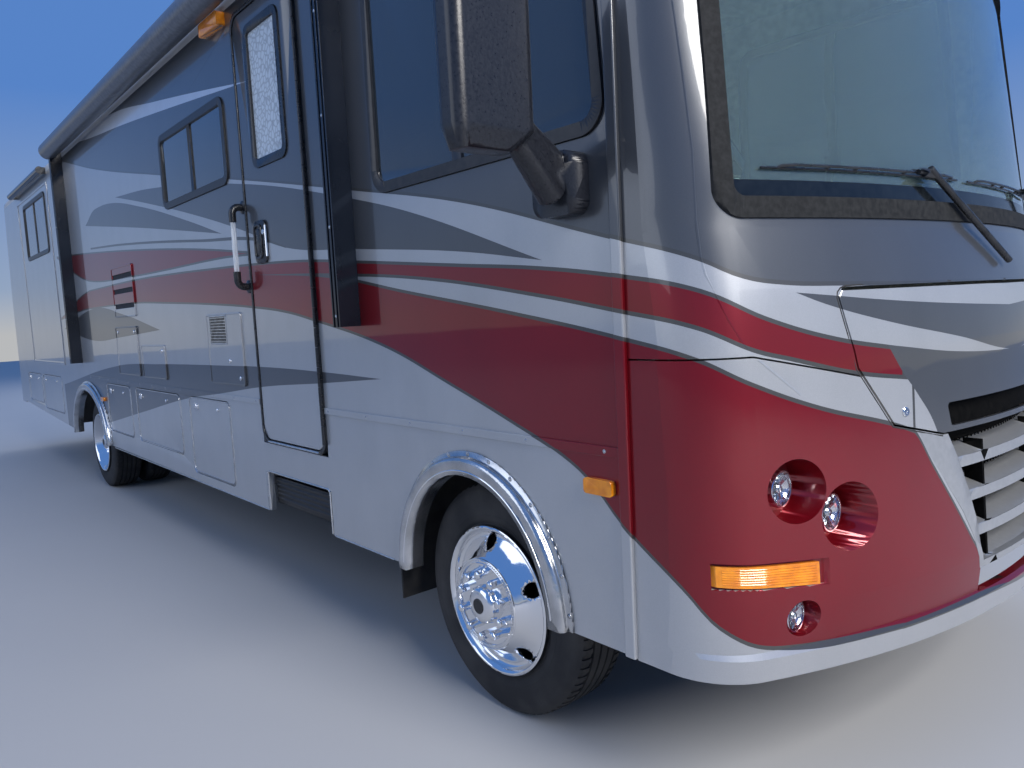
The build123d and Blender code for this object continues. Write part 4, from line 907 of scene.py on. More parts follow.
# Entrance: a framed leaf, painted like the wall, in a dark extruded frame with a full length hinge,
# a window of frosted glass, a slam latch with a lock, and beside it a grab handle with a clear bar.
frosted_pane, tree, shader, place = new_material("frosted_pane", {"Roughness": 0.35})
crackle = add_node(tree, "TexVoronoi", {"Vector": place, "Scale": 34.0})
crackle.feature = "DISTANCE_TO_EDGE"
from_crack = crackle.outputs["Distance"]
set_inputs(tree, shader, {
    "Base Color": color_ramp(tree, from_crack,
                             (0.0, (0.34, 0.38, 0.41, 1)), (0.16, (0.60, 0.66, 0.70, 1))),
    "Normal": bumped(tree, from_crack, 0.6, 0.002),
})
trim_black = speckled(
    "trim_black", (0.010, 0.011, 0.013), (0.024, 0.025, 0.028), 18.0, 0.28, relief=0.0002
)
satin_metal = speckled(
    "satin_metal", (0.50, 0.51, 0.52), (0.66, 0.67, 0.68), 24.0, 0.24, 0.95, relief=0.0002
)
clear_bar, tree, shader, place = new_material("clear_bar", {
    "Base Color": (0.90, 0.93, 0.95, 1), "Roughness": 0.06, "Transmission Weight": 0.55
})
set_inputs(tree, shader, {"Roughness": ranged(tree, clouds(tree, place, 40.0), 0.04, 0.22)})
door_window = ((-1.671, -1.275), (2.216, 2.900))
door_proud, leaf_thick = 0.002, 0.03
door_face, frame_face = half_width + door_proud, half_width + 0.008


def bead(points, radius, sides=2):
    """A round bead along points, with closed ends."""
    piece = traced([Vector(point) for point in points])
    leave_edit()
    select_only(piece)
    bpy.ops.object.convert(target="CURVE")
    piece.data.bevel_depth = radius
    piece.data.bevel_resolution = sides
    piece.data.use_fill_caps = True
    bpy.ops.object.convert(target="MESH")
    open_all(piece)
    close_shape(weld=True)
    return piece


def at_wall(station, depth, height, side=-1):
    """A point on the side of the body, by its station, distance from the middle and height."""
    return Vector((front_axle + station, side * depth, height))


def screws(spots, radius, name):
    """Round headed screws with washers at points on the sides, each with its own mesh."""
    high = 0.45 * radius
    model = lathe(
        [(-0.5 * high, 1.5 * radius), (0.25 * high, 1.45 * radius), (0.3 * high, radius),
         (0.9 * high, 0.75 * radius), (1.15 * high, 0.35 * radius), (0.95 * high, 0.0)],
        (0, 0, 0), (0, -1, 0), 10,
    )
    heads = []
    for spot in spots:
        turn = Matrix.Rotation(0.0 if spot.y < 0 else pi, 4, "Z")
        heads.append(twin(model, Matrix.Translation(spot) @ turn))
    bpy.data.objects.remove(model)
    fitted(heads, name, satin_metal)


leaf = welded("entry_door", body_paint, "paint")
repaint(leaf, inner_lining, lambda c, n: n.y > 0.5 and abs(c.y) < half_width - leaf_thick)
glaze(leaf, *door_window, trim_black, frosted_pane)
welded("door_frame", trim_black, "black_plastic", edge=0.005)
knuckle_pitch, knuckle_count = 0.090, 23
knuckle = lathe(
    [(0.0, 0.0), (0.0, 0.0086), (0.001, 0.0095), (0.0875, 0.0095), (0.0885, 0.0086), (0.0885, 0.0)],
    at_wall(-1.112, frame_face + 0.004, 0.885), (0, 0, 1), 12, (0, -1, 0),
)
knuckles = [knuckle]
for index in range(1, knuckle_count):
    knuckles.append(twin(knuckle, Matrix.Translation((0, 0, knuckle_pitch * index))))
fitted(knuckles, "entry_hinge", trim_black)
sill = bead([at_wall(station, frame_face, 0.840) for station in (-1.75, -1.18)], 0.005)
fitted(sill, "entry_sill", satin_metal)
latch_parts = [
    wall_plate((-1.717, -1.574), (1.755, 1.967), 0.035, door_proud, 0.014, 0.0, 0.004),
    wall_plate((-1.706, -1.612), (1.775, 1.950), 0.030, 0.013, 0.021, 0.014, 0.004),
    wall_plate((-1.686, -1.634), (1.800, 1.925), 0.018, 0.012, 0.018, 0.0, 0.003),
]
fitted(latch_parts, "entry_latch", trim_black, "entry_door")
latch_line = bead([at_wall(-1.576, door_face + 0.008, z) for z in (1.785, 1.937)], 0.006)
lock_core = lathe(
    [(-0.002, 0.013), (0.004, 0.013), (0.006, 0.011), (0.006, 0.0035), (0.002, 0.003),
     (0.002, 0.0)],
    at_wall(-1.594, door_face + 0.012, 1.905), (0, -1, 0), 20,
)
fitted([latch_line, lock_core], "entry_lock", chrome, "entry_door")
grab_out, grab_x, elbow_reach = half_width + 0.060, -1.856, 0.034
grab_low, grab_high = 1.650, 2.058
elbows = []
for end, toward in ((grab_high, -1), (grab_low, 1)):
    bend = [at_wall(grab_x, half_width - 0.002, end)]
    for turn in spaced(0.0, pi / 2, 5):
        depth = grab_out - elbow_reach * (1 - sin(turn))
        bend.append(at_wall(grab_x, depth, end + toward * elbow_reach * (1 - cos(turn))))
    bend.append(at_wall(grab_x, grab_out, end + toward * 0.078))
    elbows.append(bead(bend, 0.019, sides=4))
    elbows.append(lathe(
        [(-0.001, 0.0), (-0.001, 0.034), (0.006, 0.034), (0.010, 0.026), (0.010, 0.0)],
        at_wall(grab_x, half_width, end), (0, -1, 0), 24,
    ))
fitted(elbows, "grab_elbows", trim_black)
bar_ends = (grab_low + 0.070, grab_high - 0.070)
bar = bead([at_wall(grab_x, grab_out, z) for z in bar_ends], 0.0135, sides=4)
fitted(bar, "grab_bar", clear_bar)


# Storage doors: flat painted leaves in thin bright trims with rounded corners, hung from a hinge
# under the belt, each held shut by a slam latch and a round lock near its upper edge.
door_table = (
    ("storage_door_right_1", -1, (-2.998, -2.290), (0.518, 1.016)),
    ("storage_door_right_2", -1, (-4.230, -3.186), (0.607, 1.016)),
    ("storage_door_right_3", -1, (-5.120, -4.391), (0.607, 1.016)),
    ("storage_door_right_4", -1, (-8.062, -7.019), (0.612, 1.004)),
    ("storage_door_right_5", -1, (-9.022, -8.150), (0.660, 1.000)),
    ("storage_door_left_1", 1, (-3.300, -1.300), (0.520, 1.016)),
    ("storage_door_left_2", 1, (-8.500, -7.000), (0.650, 1.004)),
)
trim_wide, trim_proud, leaf_gap, door_skin = 0.007, 0.0035, 0.005, 0.020
door_corner, opening_corner, corner_points = 0.040, 0.048, 12
latch_in, lock_share, latch_drop = 0.13, 0.72, 0.062
outer_trims = []
for node, side, span, rise in door_table:
    panel = welded(node, body_paint, "paint")
    repaint(panel, inner_lining, lambda c, n: abs(c.y) < half_width - door_skin)
    rim = wall_plate(widened(span, -leaf_gap), widened(rise, -leaf_gap), door_corner,
                     -0.001, trim_proud, trim_wide, 0.0015, side)
    fitted(rim, node + "_rim", satin_metal, node)
    lip = trim_wide / 2
    (back, front), low, high = widened(span, lip), rise[0] - lip, rise[1]
    below = rounded((back, front), (low, high), opening_corner)[corner_points:]
    run = [(back, high - 0.02), *below, (front, high - 0.02)]
    outer_trims.append(bead([at_wall(x, half_width, z, side) for x, z in run], lip, sides=1))
    latch_x, latch_z = span[0] + latch_in, high - latch_drop
    lock_x = span[0] + lock_share * (span[1] - span[0])
    hardware = [
        wall_plate(widened((latch_x, latch_x), 0.034), widened((latch_z, latch_z), 0.022), 0.010,
                   0.0, 0.005, 0.0, 0.0015, side),
        wall_plate((latch_x - 0.024, latch_x + 0.012), widened((latch_z, latch_z), 0.015), 0.006,
                   0.004, 0.009, 0.0, 0.002, side),
    ]
    for lock in (latch_x + 0.023, lock_x):
        hardware.append(lathe(
            [(-0.001, 0.0), (-0.001, 0.012), (0.006, 0.012), (0.008, 0.009), (0.008, 0.003),
             (0.005, 0.0)],
            at_wall(lock, half_width, latch_z, side), (0, side, 0), 16,
        ))
    fitted(hardware, node + "_latches", chrome, node)
fitted(outer_trims, "storage_trims", satin_metal)


# Belt and hatches: screws along the belt moulding, and on the right side the refrigerator vent,
# the water heater's perforated door and two small lids, each a painted pressing with a rim.
belt_runs = ((-1, -5.65, -1.88), (-1, -1.06, 0.62), (1, -5.65, 0.62))
belt_face, belt_height, belt_pitch = half_width + 0.008, 1.0445, 0.30
belt_screws = []
for side, back, front in belt_runs:
    for station in spaced(back, front, int((front - back) / belt_pitch)):
        belt_screws.append(at_wall(station, belt_face, belt_height, side))
screws(belt_screws, 0.0042, "belt_screws")
# The bottoms of the vent's slots and the heater's face behind its mesh are painted near black, as
# painted shade in the recesses.
slot_shade_black = speckled("slot_shade_black", (0.006, 0.006, 0.007), (0.014, 0.014, 0.015), 30.0, 0.70)
vent_span, vent_slots = (-4.56, -4.02), ((1.622, 1.658), (1.737, 1.773), (1.850, 1.886))
mesh_span, mesh_rise, mesh_lap = (-2.469, -2.225), (1.355, 1.507), 0.008


def slot_bottom(centre, normal):
    along = centre.x - front_axle
    in_vent = any(low < centre.z < high for low, high in vent_slots)
    in_mesh = mesh_span[0] < along < mesh_span[1] and mesh_rise[0] < centre.z < mesh_rise[1]
    return abs(centre.y) < half_width + 0.004 and (
        in_mesh or in_vent and vent_span[0] < along < vent_span[1]
    )


repaint(bpy.data.objects["service_hatches_finished"], slot_shade_black, slot_bottom)
hatch_rims = (
    ((-4.580, -4.000), (1.556, 1.942)), ((-2.529, -2.002), (1.116, 1.523)),
    ((-4.619, -4.025), (1.106, 1.482)), ((-3.942, -3.393), (1.102, 1.342)),
)
hatch_face, rim_low, rim_high, rim_wide = half_width + 0.007, 0.006, 0.010, 0.010
rims = [
    wall_plate(stations, heights, 0.018, rim_low, rim_high, rim_wide, 0.0012)
    for stations, heights in hatch_rims
]
fitted(rims, "hatch_rims", body_paint)


def strip(stations, heights, depths, edge=0.0):
    """A bar with square corners between two stations, two heights and two Y values."""
    (back, front), (low, high) = stations, heights
    return plate([(back, low), (front, low), (front, high), (back, high)], depths, 0.0, edge)


bars = []
bar_count, bar_pitch, bar_wide, bar_depths = 12, 0.0204, 0.0045, (0.0010, -0.0030)
row_count, row_pitch, row_wide, row_depths = 9, 0.0168, 0.0040, (0.0016, -0.0024)
for index in range(bar_count):
    station = mesh_span[0] + 0.010 + bar_pitch * index
    depths = [-hatch_face - depth for depth in bar_depths]
    bars.append(strip((station, station + bar_wide), mesh_rise, depths))
for index in range(row_count):
    height = mesh_rise[0] + 0.008 + row_pitch * index
    depths = [-hatch_face - depth for depth in row_depths]
    bars.append(strip(mesh_span, (height, height + row_wide), depths))
bars.append(wall_plate(widened(mesh_span, mesh_lap), widened(mesh_rise, mesh_lap), 0.008,
                       rim_low, rim_high, rim_wide, 0.001))
fitted(bars, "heater_mesh", satin_metal)
lock_spots = ((-4.55, 1.44), (-4.09, 1.44), (-3.45, 1.30), (-2.20, 1.253), (-2.06, 1.16))
lid_locks = [
    lathe([(-0.001, 0.0), (-0.001, 0.013), (0.005, 0.013), (0.007, 0.010), (0.006, 0.0)],
          at_wall(station, hatch_face, height), (0, -1, 0), 16)
    for station, height in lock_spots
]
fitted(lid_locks, "lid_locks", chrome)


# Skirts and arches: a polished flare screwed on round each wheel opening, liners and mud flaps
# behind, an entry step of ribbed aluminium on a bracket, and bright trim along the lower edges.
flare_metal = speckled(
    "flare_metal", (0.46, 0.465, 0.47), (0.66, 0.665, 0.67), 9.0, 0.17, 0.95, relief=0.0004
)
rubber_sheet = speckled(
    "rubber_sheet", (0.012, 0.012, 0.013), (0.034, 0.032, 0.030), 14.0, 0.78, relief=0.0008
)
step_ridged = speckled(
    "step_ridged", (0.012, 0.012, 0.013), (0.040, 0.039, 0.037), 60.0, 0.40, 0.40, relief=0.0006
)
welded("arch_flares", flare_metal, "bright_flare")
welded("arch_liners", rubber_sheet, "black_plastic")
welded("entry_step", step_ridged, "step_metal")
# Wheel openings: station of the middle, half width and rise above the base.
arch_table = ((-0.030, 0.410, 0.441), (-5.811, 0.620, 0.470))
arches = [(side, arch) for side in (-1, 1) for arch in arch_table]
arch_base, flange_face, lip_face = 0.455, 1.3035, 1.331
screw_lap, bead_lap = 0.069, 0.012
skirt_foot = 0.459


def round_arch(side, arch, lap, turns, depth):
    """Points round a wheel opening, outside its edge, at turns from the front in degrees."""
    middle, half, rise = arch
    return [
        at_wall(middle + (half + lap) * cos(radians(turn)), depth,
                arch_base + (rise + lap) * sin(radians(turn)), side)
        for turn in turns
    ]


flare_screws = []
for side, arch in arches:
    flare_screws += round_arch(side, arch, screw_lap, spaced(6, 174, 12), flange_face)
screws(flare_screws, 0.0058, "flare_screws")
flare_beads = [
    bead(round_arch(side, arch, bead_lap, range(4, 180, 4), lip_face), 0.0035)
    for side, arch in arches
]
fitted(flare_beads, "flare_beads", chrome)
step_opening = (
    (-1.810, 0.465), (-1.810, 0.662), (-1.798, 0.674), (-1.125, 0.674), (-1.113, 0.662),
    (-1.113, 0.465),
)
lower_trims = [bead([at_wall(x, half_width + 0.001, z) for x, z in step_opening], 0.0045)]
for side, back, front in ((-1, -5.05, -1.83), (-1, -1.09, -0.58), (1, -5.05, -0.58)):
    ends = [at_wall(station, half_width - 0.001, skirt_foot, side) for station in (back, front)]
    lower_trims.append(bead(ends, 0.004))
fitted(lower_trims, "lower_trim", satin_metal)
tread_strips = []
tread_span, tread_rise, tread_edge = (-1.770, -1.140), (0.4995, 0.5055), 0.0012
tread_first, tread_pitch, tread_wide = 1.010, 0.032, 0.012
for index in range(7):
    depth = tread_first + tread_pitch * index
    depths = (-depth, -depth - tread_wide)
    tread_strips.append(strip(tread_span, tread_rise, depths, tread_edge))
bracket = strip((-1.838, -1.814), (0.462, 0.668),
                (-half_width + 0.001, -half_width - 0.003), 0.0012)
fitted(bracket, "step_bracket", satin_metal)
bracket_screws = [at_wall(-1.826, half_width + 0.003, z) for z in (0.475, 0.535, 0.595, 0.655)]
screws(bracket_screws, 0.0045, "bracket_screws")
fitted(tread_strips, "step_treads", step_ridged, "entry_step")


# Grille: a silver painted moulding with three deep louvres, a splitter and a sill, bolted into the
# hood's opening before a black wire screen. Behind the screen a near black sheet stands for the
# radiator core and paints the shade inside the grille, the louvres' uprights are painted black as
# shade, and a near black sheet behind the hood's slot is painted shade. A rubber bead fills the
# hood's gap, two round locks hold the hood shut, and a painted lip rounds the corner of the nose.
grille_silver = speckled("grille_silver", (0.41, 0.42, 0.43), (0.45, 0.46, 0.47), 60.0, 0.32, 0.60)
# A near black for the screen's wires, and as painted shade for the sheets behind the grille and the
# hood's slot and for the louvres' uprights.
screen_and_shade_black = speckled(
    "screen_and_shade_black", (0.002, 0.002, 0.002), (0.005, 0.005, 0.005), 50.0, 0.85,
    extra={"Specular IOR Level": 0.05},
)
grille = welded("grille", grille_silver, "louvre_silver")
front_mask, front_cap, hood_skin = (
    bpy.data.objects[node + "_finished"] for node in ("front_mask", "front_cap", "hood")
)
screen_inset, screen_low, screen_high, screen_half = 0.105, 0.640, 0.985, 0.50
wire_radius, screen_foot, core_inset, core_high = 0.0020, 0.612, 0.012, 0.400
upright_low, upright_high = 0.254, 0.270
ahead_of_nose = 1.6


def nose_hit(probe, across, height):
    """Where a look back at the nose meets a piece, and the direction of its face there."""
    start = Vector((front_axle + ahead_of_nose, across, height))
    found, spot, normal, index = probe.ray_cast(start, Vector((-1, 0, 0)))
    return (spot, normal) if found else None


def nose_point(probes, across, height, inset):
    """A point behind the nose's face, found by looking back at the first of some pieces."""
    hits = [nose_hit(probe, across, height) for probe in probes]
    face = max((hit[0] for hit in hits if hit), key=lambda spot: spot.x)
    return face - Vector((inset, 0, 0))


def sheet(points, way, thick):
    """A sheet that runs from a line of points along a vector."""
    piece = traced(points)
    draw_out(way)
    leave_edit()
    apply_modifier(piece, "SOLIDIFY", thickness=thick)
    return piece


screen_line = [
    nose_point((front_mask, grille), across, screen_foot, screen_inset)
    for across in spaced(-screen_half, screen_half, 12)
]
wires = []
for height in spaced(screen_low, screen_high, 14):
    wires.append(bead([(spot.x, spot.y, height) for spot in screen_line], wire_radius, sides=0))
for share in spaced(0, 12, 36):
    before = min(int(share), 11)
    spot = screen_line[before].lerp(screen_line[before + 1], share - before)
    ends = [(spot.x - wire_radius, spot.y, height) for height in (screen_low, screen_high)]
    wires.append(bead(ends, wire_radius, sides=0))
fitted(wires, "grille_screen", screen_and_shade_black)
# A near black sheet behind the screen stands for the radiator core and paints the shade inside the
# grille.
core_line = [spot - Vector((core_inset, 0, 0)) for spot in screen_line]
core = sheet(core_line, (0, 0, core_high), 0.004)
fitted(core, "grille_core_shade", screen_and_shade_black)
# The louvres' uprights are painted near black, as painted shade.
repaint(grille, screen_and_shade_black, lambda c, n: upright_low < abs(c.y) < upright_high)

# A near black sheet behind the hood's slot is painted shade, so that the slot looks dark inside.
brow_line = [nose_point((hood_skin,), y, 1.045, 0.036) for y in spaced(-0.46, 0.46, 12)]
slot_shade_sheet = sheet(brow_line, (-0.012, 0, 0.088), 0.003)
fitted(slot_shade_sheet, "hood_slot_shade", screen_and_shade_black, "hood")
nose_skin = (front_cap, front_mask, grille)
hood_edge = (
    (0.0, 1.479), (0.40, 1.479), (0.80, 1.479), (0.855, 1.478), (0.872, 1.473), (0.884, 1.462),
    (0.8875, 1.448), (0.868, 1.350), (0.848, 1.251), (0.788, 1.166), (0.727, 1.081),
    (0.620, 1.055), (0.515, 1.030),
)
crease_line = (
    (5.1429, 1.2443, 2.2148), (5.1643, 1.2402, 2.0393), (5.1864, 1.2378, 1.8382),
    (5.1968, 1.2439, 1.6615), (5.2084, 1.2449, 1.5696), (5.2206, 1.2414, 1.5205),
    (5.2436, 1.2269, 1.4601), (5.2619, 1.2101, 1.4051), (5.2822, 1.1864, 1.3495),
    (5.2990, 1.1560, 1.3115),
)
crease_foot = ((1.146, 1.300), (1.102, 1.2613), (1.032, 1.2000))
crease_inset, seal_inset, foot_inset = 0.003, 0.0025, 0.0035
gap_seals, creases, hood_locks = [], [], []
for side in (-1, 1):
    gap = [nose_point(nose_skin, side * y, z, seal_inset) for y, z in hood_edge]
    gap_seals.append(bead(gap, 0.0034))
    crease = [(x - crease_inset, side * (y - crease_inset), z) for x, y, z in crease_line]
    creases.append(bead(crease, 0.0055))
    foot = [nose_point(nose_skin, side * y, z, foot_inset) for y, z in crease_foot]
    creases.append(bead(foot, 0.0050))
fitted(gap_seals, "hood_gap_seal", rubber_sheet)
fitted(creases, "nose_creases", body_paint)
for side in (-1, 1):
    spot, normal = nose_hit(hood_skin, side * 0.675, 1.118)
    hood_locks.append(lathe(
        [(-0.001, 0.0), (-0.001, 0.0135), (0.003, 0.0135), (0.005, 0.011), (0.005, 0.004),
         (0.003, 0.003), (0.003, 0.0)],
        spot, normal, 20, normal.cross(Vector((0, 0, 1))).normalized(),
    ))
fitted(hood_locks, "hood_locks", chrome, "hood")


# Lamps: round headlamps and fog lamps with facetted reflectors under clear glass in chrome bezels,
# amber turn signals with fluted lenses, amber markers and porch lamp, and red tail lamps.
def lamp_glass(name, dark, light, glow):
    """A coloured clear plastic that passes some light."""
    return speckled(name, dark, light, 30.0, 0.10, extra={
        "Transmission Weight": glow, "IOR": 1.45, "Coat Weight": 0.8, "Coat Roughness": 0.03
    })


def cut_away(piece, chosen):
    """Delete the faces that a test chooses."""
    pick_faces(piece, chosen)
    bpy.ops.mesh.delete(type="FACE")
    leave_edit()


amber_lens = lamp_glass("amber_lens", (0.78, 0.22, 0.006), (0.98, 0.34, 0.010), 0.10)
red_lens = lamp_glass("red_lens", (0.42, 0.010, 0.008), (0.60, 0.016, 0.012), 0.25)
clear_glass = lamp_glass("clear_glass", (0.95, 0.96, 0.97), (0.99, 0.99, 1.0), 1.0)
reflector = speckled("reflector", (0.70, 0.71, 0.73), (0.86, 0.87, 0.88), 20.0, 0.07, 1.0)
# Round lamps: distance from the middle, height, radius, and stations of the floor and the face.
lamp_table = (
    (1.056, 0.947, 0.052, 1.000, 1.028), (0.896, 0.858, 0.056, 1.050, 1.084),
    (1.053, 0.604, 0.045, 1.038, 1.062),
)
lamp_set = welded("lamps", amber_lens, "lens")
tail_station, tail_top, tail_half = -6.0, 1.6, 1.2


def is_tail_lamp(centre, normal):
    behind = centre.x - front_axle < tail_station
    return behind and centre.z < tail_top and abs(centre.y) < tail_half


def is_round_lamp(centre, normal):
    along = centre.x - front_axle
    for across, height, radius, floor_x, face_x in lamp_table:
        reach = sqrt((abs(centre.y) - across) ** 2 + (centre.z - height) ** 2)
        if reach < radius + 0.004 and floor_x - 0.01 < along < face_x + 0.01:
            return True
    return False


repaint(lamp_set, red_lens, is_tail_lamp)
cut_away(lamp_set, is_round_lamp)
bezels, bowls, glasses = [], [], []
for side in (-1, 1):
    for across, height, radius, floor_x, face_x in lamp_table:
        base = (front_axle + floor_x, side * across, height)
        deep = face_x - floor_x
        bezels.append(lathe(
            [(0.001, radius), (deep - 0.003, radius), (deep + 0.001, radius - 0.0025),
             (deep + 0.0005, radius - 0.006), (deep - 0.006, radius - 0.008),
             (0.001, radius - 0.008)],
            base, (1, 0, 0), 32,
        ))
        bowl = [(0.0015, 0.0)]
        for share in (0.22, 0.40, 0.58, 0.76, 0.90):
            bowl.append((0.002 + (deep - 0.009) * share ** 2.2, radius * share - 0.002))
        bowls.append(lathe(bowl, base, (1, 0, 0), 18))
        bowls.append(lathe(
            [(0.0020, radius * 0.20), (deep * 0.45, radius * 0.19), (deep * 0.56, radius * 0.15),
             (deep * 0.60, radius * 0.07), (deep * 0.62, 0.0)],
            base, (1, 0, 0), 12,
        ))
        glasses.append(lathe(
            [(deep - 0.0045, radius - 0.0065), (deep - 0.0005, radius - 0.007),
             (deep + 0.0015, radius * 0.72), (deep + 0.0035, radius * 0.40), (deep + 0.0042, 0.0)],
            base, (1, 0, 0), 32,
        ))
fitted(bezels, "lamp_bezels", chrome)
fitted(bowls, "lamp_reflectors", reflector, smooth=False)
fitted(glasses, "lamp_glasses", clear_glass)
flute_count, flute_sink, lens_margin = 7, 0.0012, 0.08
lens_across, lens_low, lens_high = 1.247, 0.714, 0.767
lens_reach, low_fall, high_fall = 0.235, 0.022, 0.015
flutes = []
for side in (-1, 1):
    for index in range(flute_count):
        share = (index + 0.5) / flute_count
        line = []
        for way in spaced(0.0, 1.0, 8):
            low, high = lens_low - low_fall * way, lens_high - high_fall * way
            height = low + (high - low) * (lens_margin + (1 - 2 * lens_margin) * share)
            hit = nose_hit(lamp_set, side * (lens_across - lens_reach * way), height)
            if hit:
                line.append(hit[0] - hit[1] * flute_sink)
        flutes.append(bead(line, 0.0030, sides=1))
fitted(flutes, "signal_flutes", amber_lens)


# Windshield: one curved laminated pane with a green cast and a black fired edge, held by a thick
# weathered rubber seal with a filler strip, under two wipers with black arms and sprung blades.
green_glass, tree, shader, place = new_material("green_glass", {
    "Roughness": 0.02, "Transmission Weight": 0.93, "IOR": 1.5, "Coat Weight": 0.5
})
film = clouds(tree, place, 3.0, 7.0)
set_inputs(tree, shader, {
    "Base Color": color_ramp(tree, film,
                             (0.0, (0.56, 0.76, 0.70, 1)), (1.0, (0.68, 0.88, 0.82, 1))),
    "Roughness": ranged(tree, film, 0.015, 0.06, 0.45),
})
seal_rubber = speckled(
    "seal_rubber", (0.012, 0.013, 0.014), (0.026, 0.027, 0.028), 60.0, 0.75, relief=0.0005,
    extra={"Specular IOR Level": 0.15},
)
frit_black = speckled("frit_black", (0.006, 0.008, 0.010), (0.010, 0.013, 0.016), 40.0, 0.10)
glass = welded("windshield", green_glass, "windshield_glass")
frit_low, frit_high, frit_side = 1.765, 2.600, 0.046
pillar_low, pillar_high = (1.213, 1.664), (1.160, 2.700)
lean = Vector((0, pillar_high[1] - pillar_low[1], pillar_low[0] - pillar_high[0])).normalized()
cuts = [((0, 0, frit_low), (0, 0, 1)), ((0, 0, frit_high), (0, 0, 1))]
for side in (-1, 1):
    foot = (0, side * (pillar_low[0] - frit_side), pillar_low[1])
    cuts.append((foot, (0, side * lean.y, lean.z)))
open_all(glass)
for spot, normal in cuts:
    bpy.ops.mesh.select_all(action="SELECT")
    bpy.ops.mesh.bisect(plane_co=spot, plane_no=normal)
leave_edit()


def at_fired_edge(centre, normal):
    share = (centre.z - pillar_low[1]) / (pillar_high[1] - pillar_low[1])
    edge = pillar_low[0] + (pillar_high[0] - pillar_low[0]) * share - frit_side
    return centre.z < frit_low or centre.z > frit_high or abs(centre.y) > edge


repaint(glass, frit_black, at_fired_edge)
welded("windshield_seal", seal_rubber, "rubber")
wipers = welded("wipers", trim_black, "black_plastic")
blade_low, blade_high, blade_z = 1.7840, 1.8130, 1.7985
arm_spans = ((-0.455, -0.385), (0.485, 0.555))
blade_spans = ((-1.060, -0.200, -0.420), (-0.120, 0.740, 0.520))


def is_blade(centre, normal):
    off_arm = not any(low < centre.y < high for low, high in arm_spans)
    return blade_low < centre.z < blade_high and off_arm


cut_away(wipers, is_blade)
blade_parts = []
for start, end, middle in blade_spans:
    line = [nose_point((glass,), across, blade_z, 0.0) for across in spaced(start, end, 16)]
    edge = [spot + Vector((0.008, 0, -0.003)) for spot in line]
    spine = [spot + Vector((0.018, 0, 0.004)) for spot in line]
    blade_parts.append(bead(edge, 0.0038, sides=0))
    blade_parts.append(bead(spine[2:15], 0.0042, sides=1))
    for index in (1, 4, 6, 10, 12, 15):
        foot = line[index] + Vector((0.007, 0, -0.003))
        knee = foot + Vector((0.008, 0.008, 0.005))
        blade_parts.append(bead([foot, knee, spine[min(max(index, 2), 14)]], 0.0046, sides=1))
    hub = nose_point((glass,), middle, blade_z, -0.018)
    ends = [hub + Vector(way) for way in ((0, -0.045, 0.004), (0.004, 0, 0.005), (0, 0.045, 0.004))]
    blade_parts.append(bead(ends, 0.0085))
fitted(blade_parts, "wiper_blades", trim_black)


# Mirrors: grained black heads on cast arms that are bolted to the body's front corners, with a
# bright glass clipped into the rear face of each head.
mirror_black = speckled(
    "mirror_black", (0.009, 0.010, 0.014), (0.018, 0.020, 0.026), 150.0, 0.30, relief=0.0004
)
mirror_glass = speckled("mirror_glass", (0.72, 0.74, 0.76), (0.80, 0.81, 0.83), 8.0, 0.02, 1.0)
welded("mirrors", mirror_black, "black_plastic")
mirror_back, mirror_reach = front_axle + 0.503, 1.612
mirror_outline = rounded((-0.108, 0.108), (1.905, 2.290), 0.045)
glass_plates = []
for side in (-1, 1):
    points = [Vector((mirror_back, side * (mirror_reach + y), z)) for y, z in mirror_outline]
    glass_plates.append(traced(points))
    bpy.ops.mesh.edge_face_add()
    draw_out((-0.0022, 0, 0))
    close_shape()
fitted(glass_plates, "mirror_glasses", mirror_glass)


# Awning, ladder and roof: a rolled awning under a metal weather shield on two grooved arms, a
# slide topper behind it, two air conditioners and vent lids of moulded plastic, a bright ladder.
arm_navy = speckled(
    "arm_navy", (0.008, 0.011, 0.018), (0.013, 0.017, 0.026), 4.0, 0.13, 0.0, relief=0.0002
)
shield_metal = speckled(
    "shield_metal", (0.15, 0.16, 0.18), (0.21, 0.22, 0.24), 40.0, 0.34, 0.60, relief=0.0004
)
awning = welded("awning", arm_navy, "awning_metal", edge=0.0015)
roll_low, roll_back, roll_front = 3.028, -6.04, -0.70
repaint(awning, shield_metal,
        lambda c, n: c.z > roll_low and roll_back < c.x - front_axle < roll_front)
arm_face, arm_feet, screw_rises = 1.3905, ((-0.754, 1.47), (-5.975, 1.22)), (0, 0.36, 0.80, 1.20)
arm_screws = [
    at_wall(station, arm_face, low + rise) for station, low in arm_feet for rise in screw_rises
]
screws(arm_screws, 0.0045, "awning_screws")
unit_white = speckled(
    "unit_white", (0.52, 0.52, 0.50), (0.60, 0.59, 0.57), 8.0, 0.48, relief=0.0006
)
welded("roof_units", unit_white, "roof_skin")
ladder_bright = speckled(
    "ladder_bright", (0.52, 0.53, 0.54), (0.68, 0.69, 0.70), 16.0, 0.22, 0.95, relief=0.0002
)
welded("ladder", ladder_bright, "ladder_metal")


# Cab: a moulded dashboard with the steering wheel on its column, and two captain's chairs with
# stitched cushions on swivel pedestals.
dash_grain = speckled(
    "dash_grain", (0.26, 0.29, 0.27), (0.36, 0.40, 0.37), 90.0, 0.62, relief=0.0010
)
seat_cloth = speckled(
    "seat_cloth", (0.22, 0.19, 0.155), (0.33, 0.29, 0.24), 120.0, 0.85, relief=0.0012
)
welded("dashboard", dash_grain, "interior")
pedestals = welded("cab_seats", dash_grain, "interior")
seat_middle, seat_half, seat_low, plain_half = 0.640, 0.262, 1.389, 0.2715
cut_away(pedestals, lambda c, n: abs(abs(c.y) - seat_middle) < plain_half and c.z > seat_low)
piping_cord = speckled(
    "piping_cord", (0.10, 0.085, 0.07), (0.16, 0.14, 0.115), 160.0, 0.80, relief=0.0006
)
cushion_cuts, pull_in, edge_drop, groove_sink, groove_width = 15, 0.045, 0.42, 0.11, 0.07
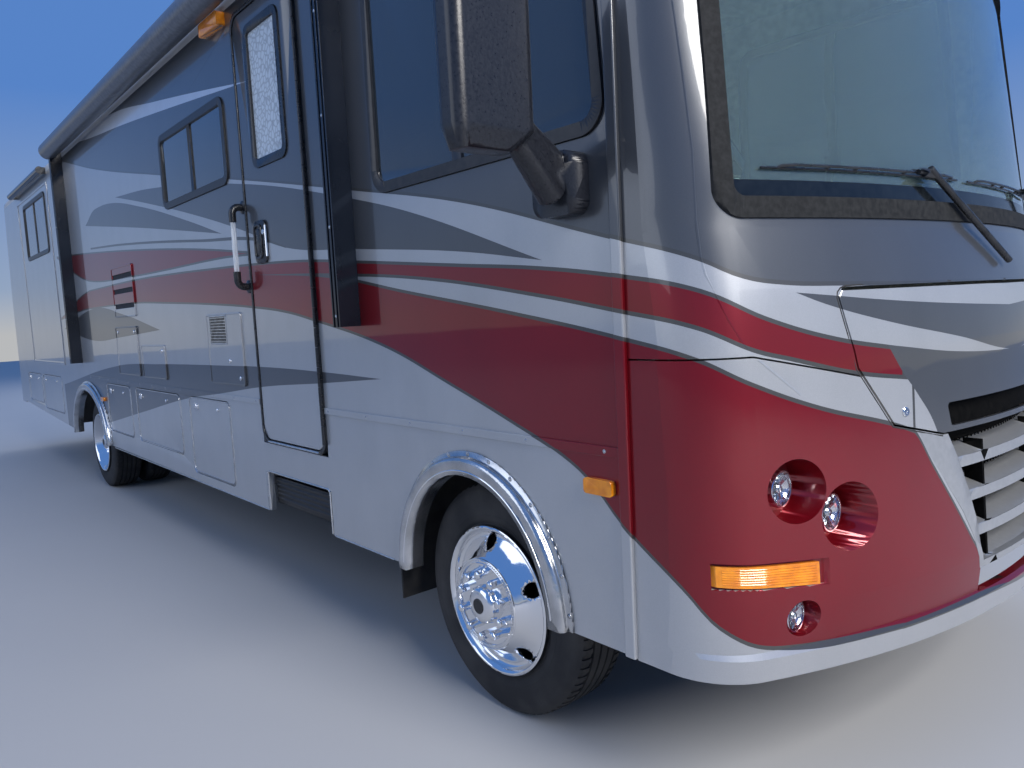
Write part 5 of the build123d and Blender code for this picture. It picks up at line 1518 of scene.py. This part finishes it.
# Cushions: corners (station, height) at the low and high end of the back face, then of the front
# face, and the places of the grooves across.
seat_parts = (
    ("seat_cushion", ((-0.384, 1.394), (0.174, 1.394), (-0.384, 1.546), (0.174, 1.546)),
     (-0.36, 0.36)),
    ("seat_back", ((-0.424, 1.548), (-0.596, 2.244), (-0.262, 1.548), (-0.456, 2.270)),
     (-0.40, 0.40)),
)
hem_line = (
    (1, 0), (1, 0.9), (0.9, 1), (0, 1), (-0.9, 1), (-1, 0.9), (-1, 0), (-1, -0.9), (-0.9, -1),
    (0, -1), (0.9, -1), (1, -0.9), (1, 0),
)
hem_inset, hem_level, hem_radius = 0.985, 0.55, 0.0045


def on_cushion(corners, along, across, through, middle):
    """A point of a crowned cushion with hollow sides, from its shares along, across and through."""
    reach = along * (1 - pull_in * (1 - across ** 2))
    wide = across * (1 - pull_in * (1 - along ** 2))
    low, high = (1 - reach) / 2, (1 + reach) / 2
    back, front = (1 - through) / 2, (1 + through) / 2
    x, z = (
        back * (low * part[0] + high * part[1]) + front * (low * part[2] + high * part[3])
        for part in zip(*corners)
    )
    return Vector((front_axle + x, middle + seat_half * wide, z))


for side in (-1, 1):
    for name, corners, grooves in seat_parts:
        middle = side * seat_middle
        bpy.ops.object.select_all(action="DESELECT")
        bpy.ops.mesh.primitive_cube_add(size=2.0, location=(0, 0, 0))
        cushion = bpy.context.active_object
        open_all(cushion)
        bpy.ops.mesh.subdivide(number_cuts=cushion_cuts)
        leave_edit()
        for vertex in cushion.data.vertices:
            along, across, through = vertex.co
            thick = 1 - edge_drop * max(abs(along), abs(across)) ** 6
            for groove in grooves:
                thick -= groove_sink * max(0.0, 1 - abs(across - groove) / groove_width)
            vertex.co = on_cushion(corners, along, across, through * thick, middle)
        open_all(cushion)
        close_shape()
        apply_modifier(cushion, "SUBSURF", levels=1, render_levels=1)
        label = name + ("_left" if side > 0 else "_right")
        fitted(cushion, label, seat_cloth)
        hems = []
        for level in (-hem_level, hem_level):
            hem = [
                on_cushion(corners, hem_inset * along, hem_inset * across, level, middle)
                for along, across in hem_line
            ]
            hems.append(bead(hem, hem_radius, sides=1))
        fitted(hems, label + "_piping", piping_cord)
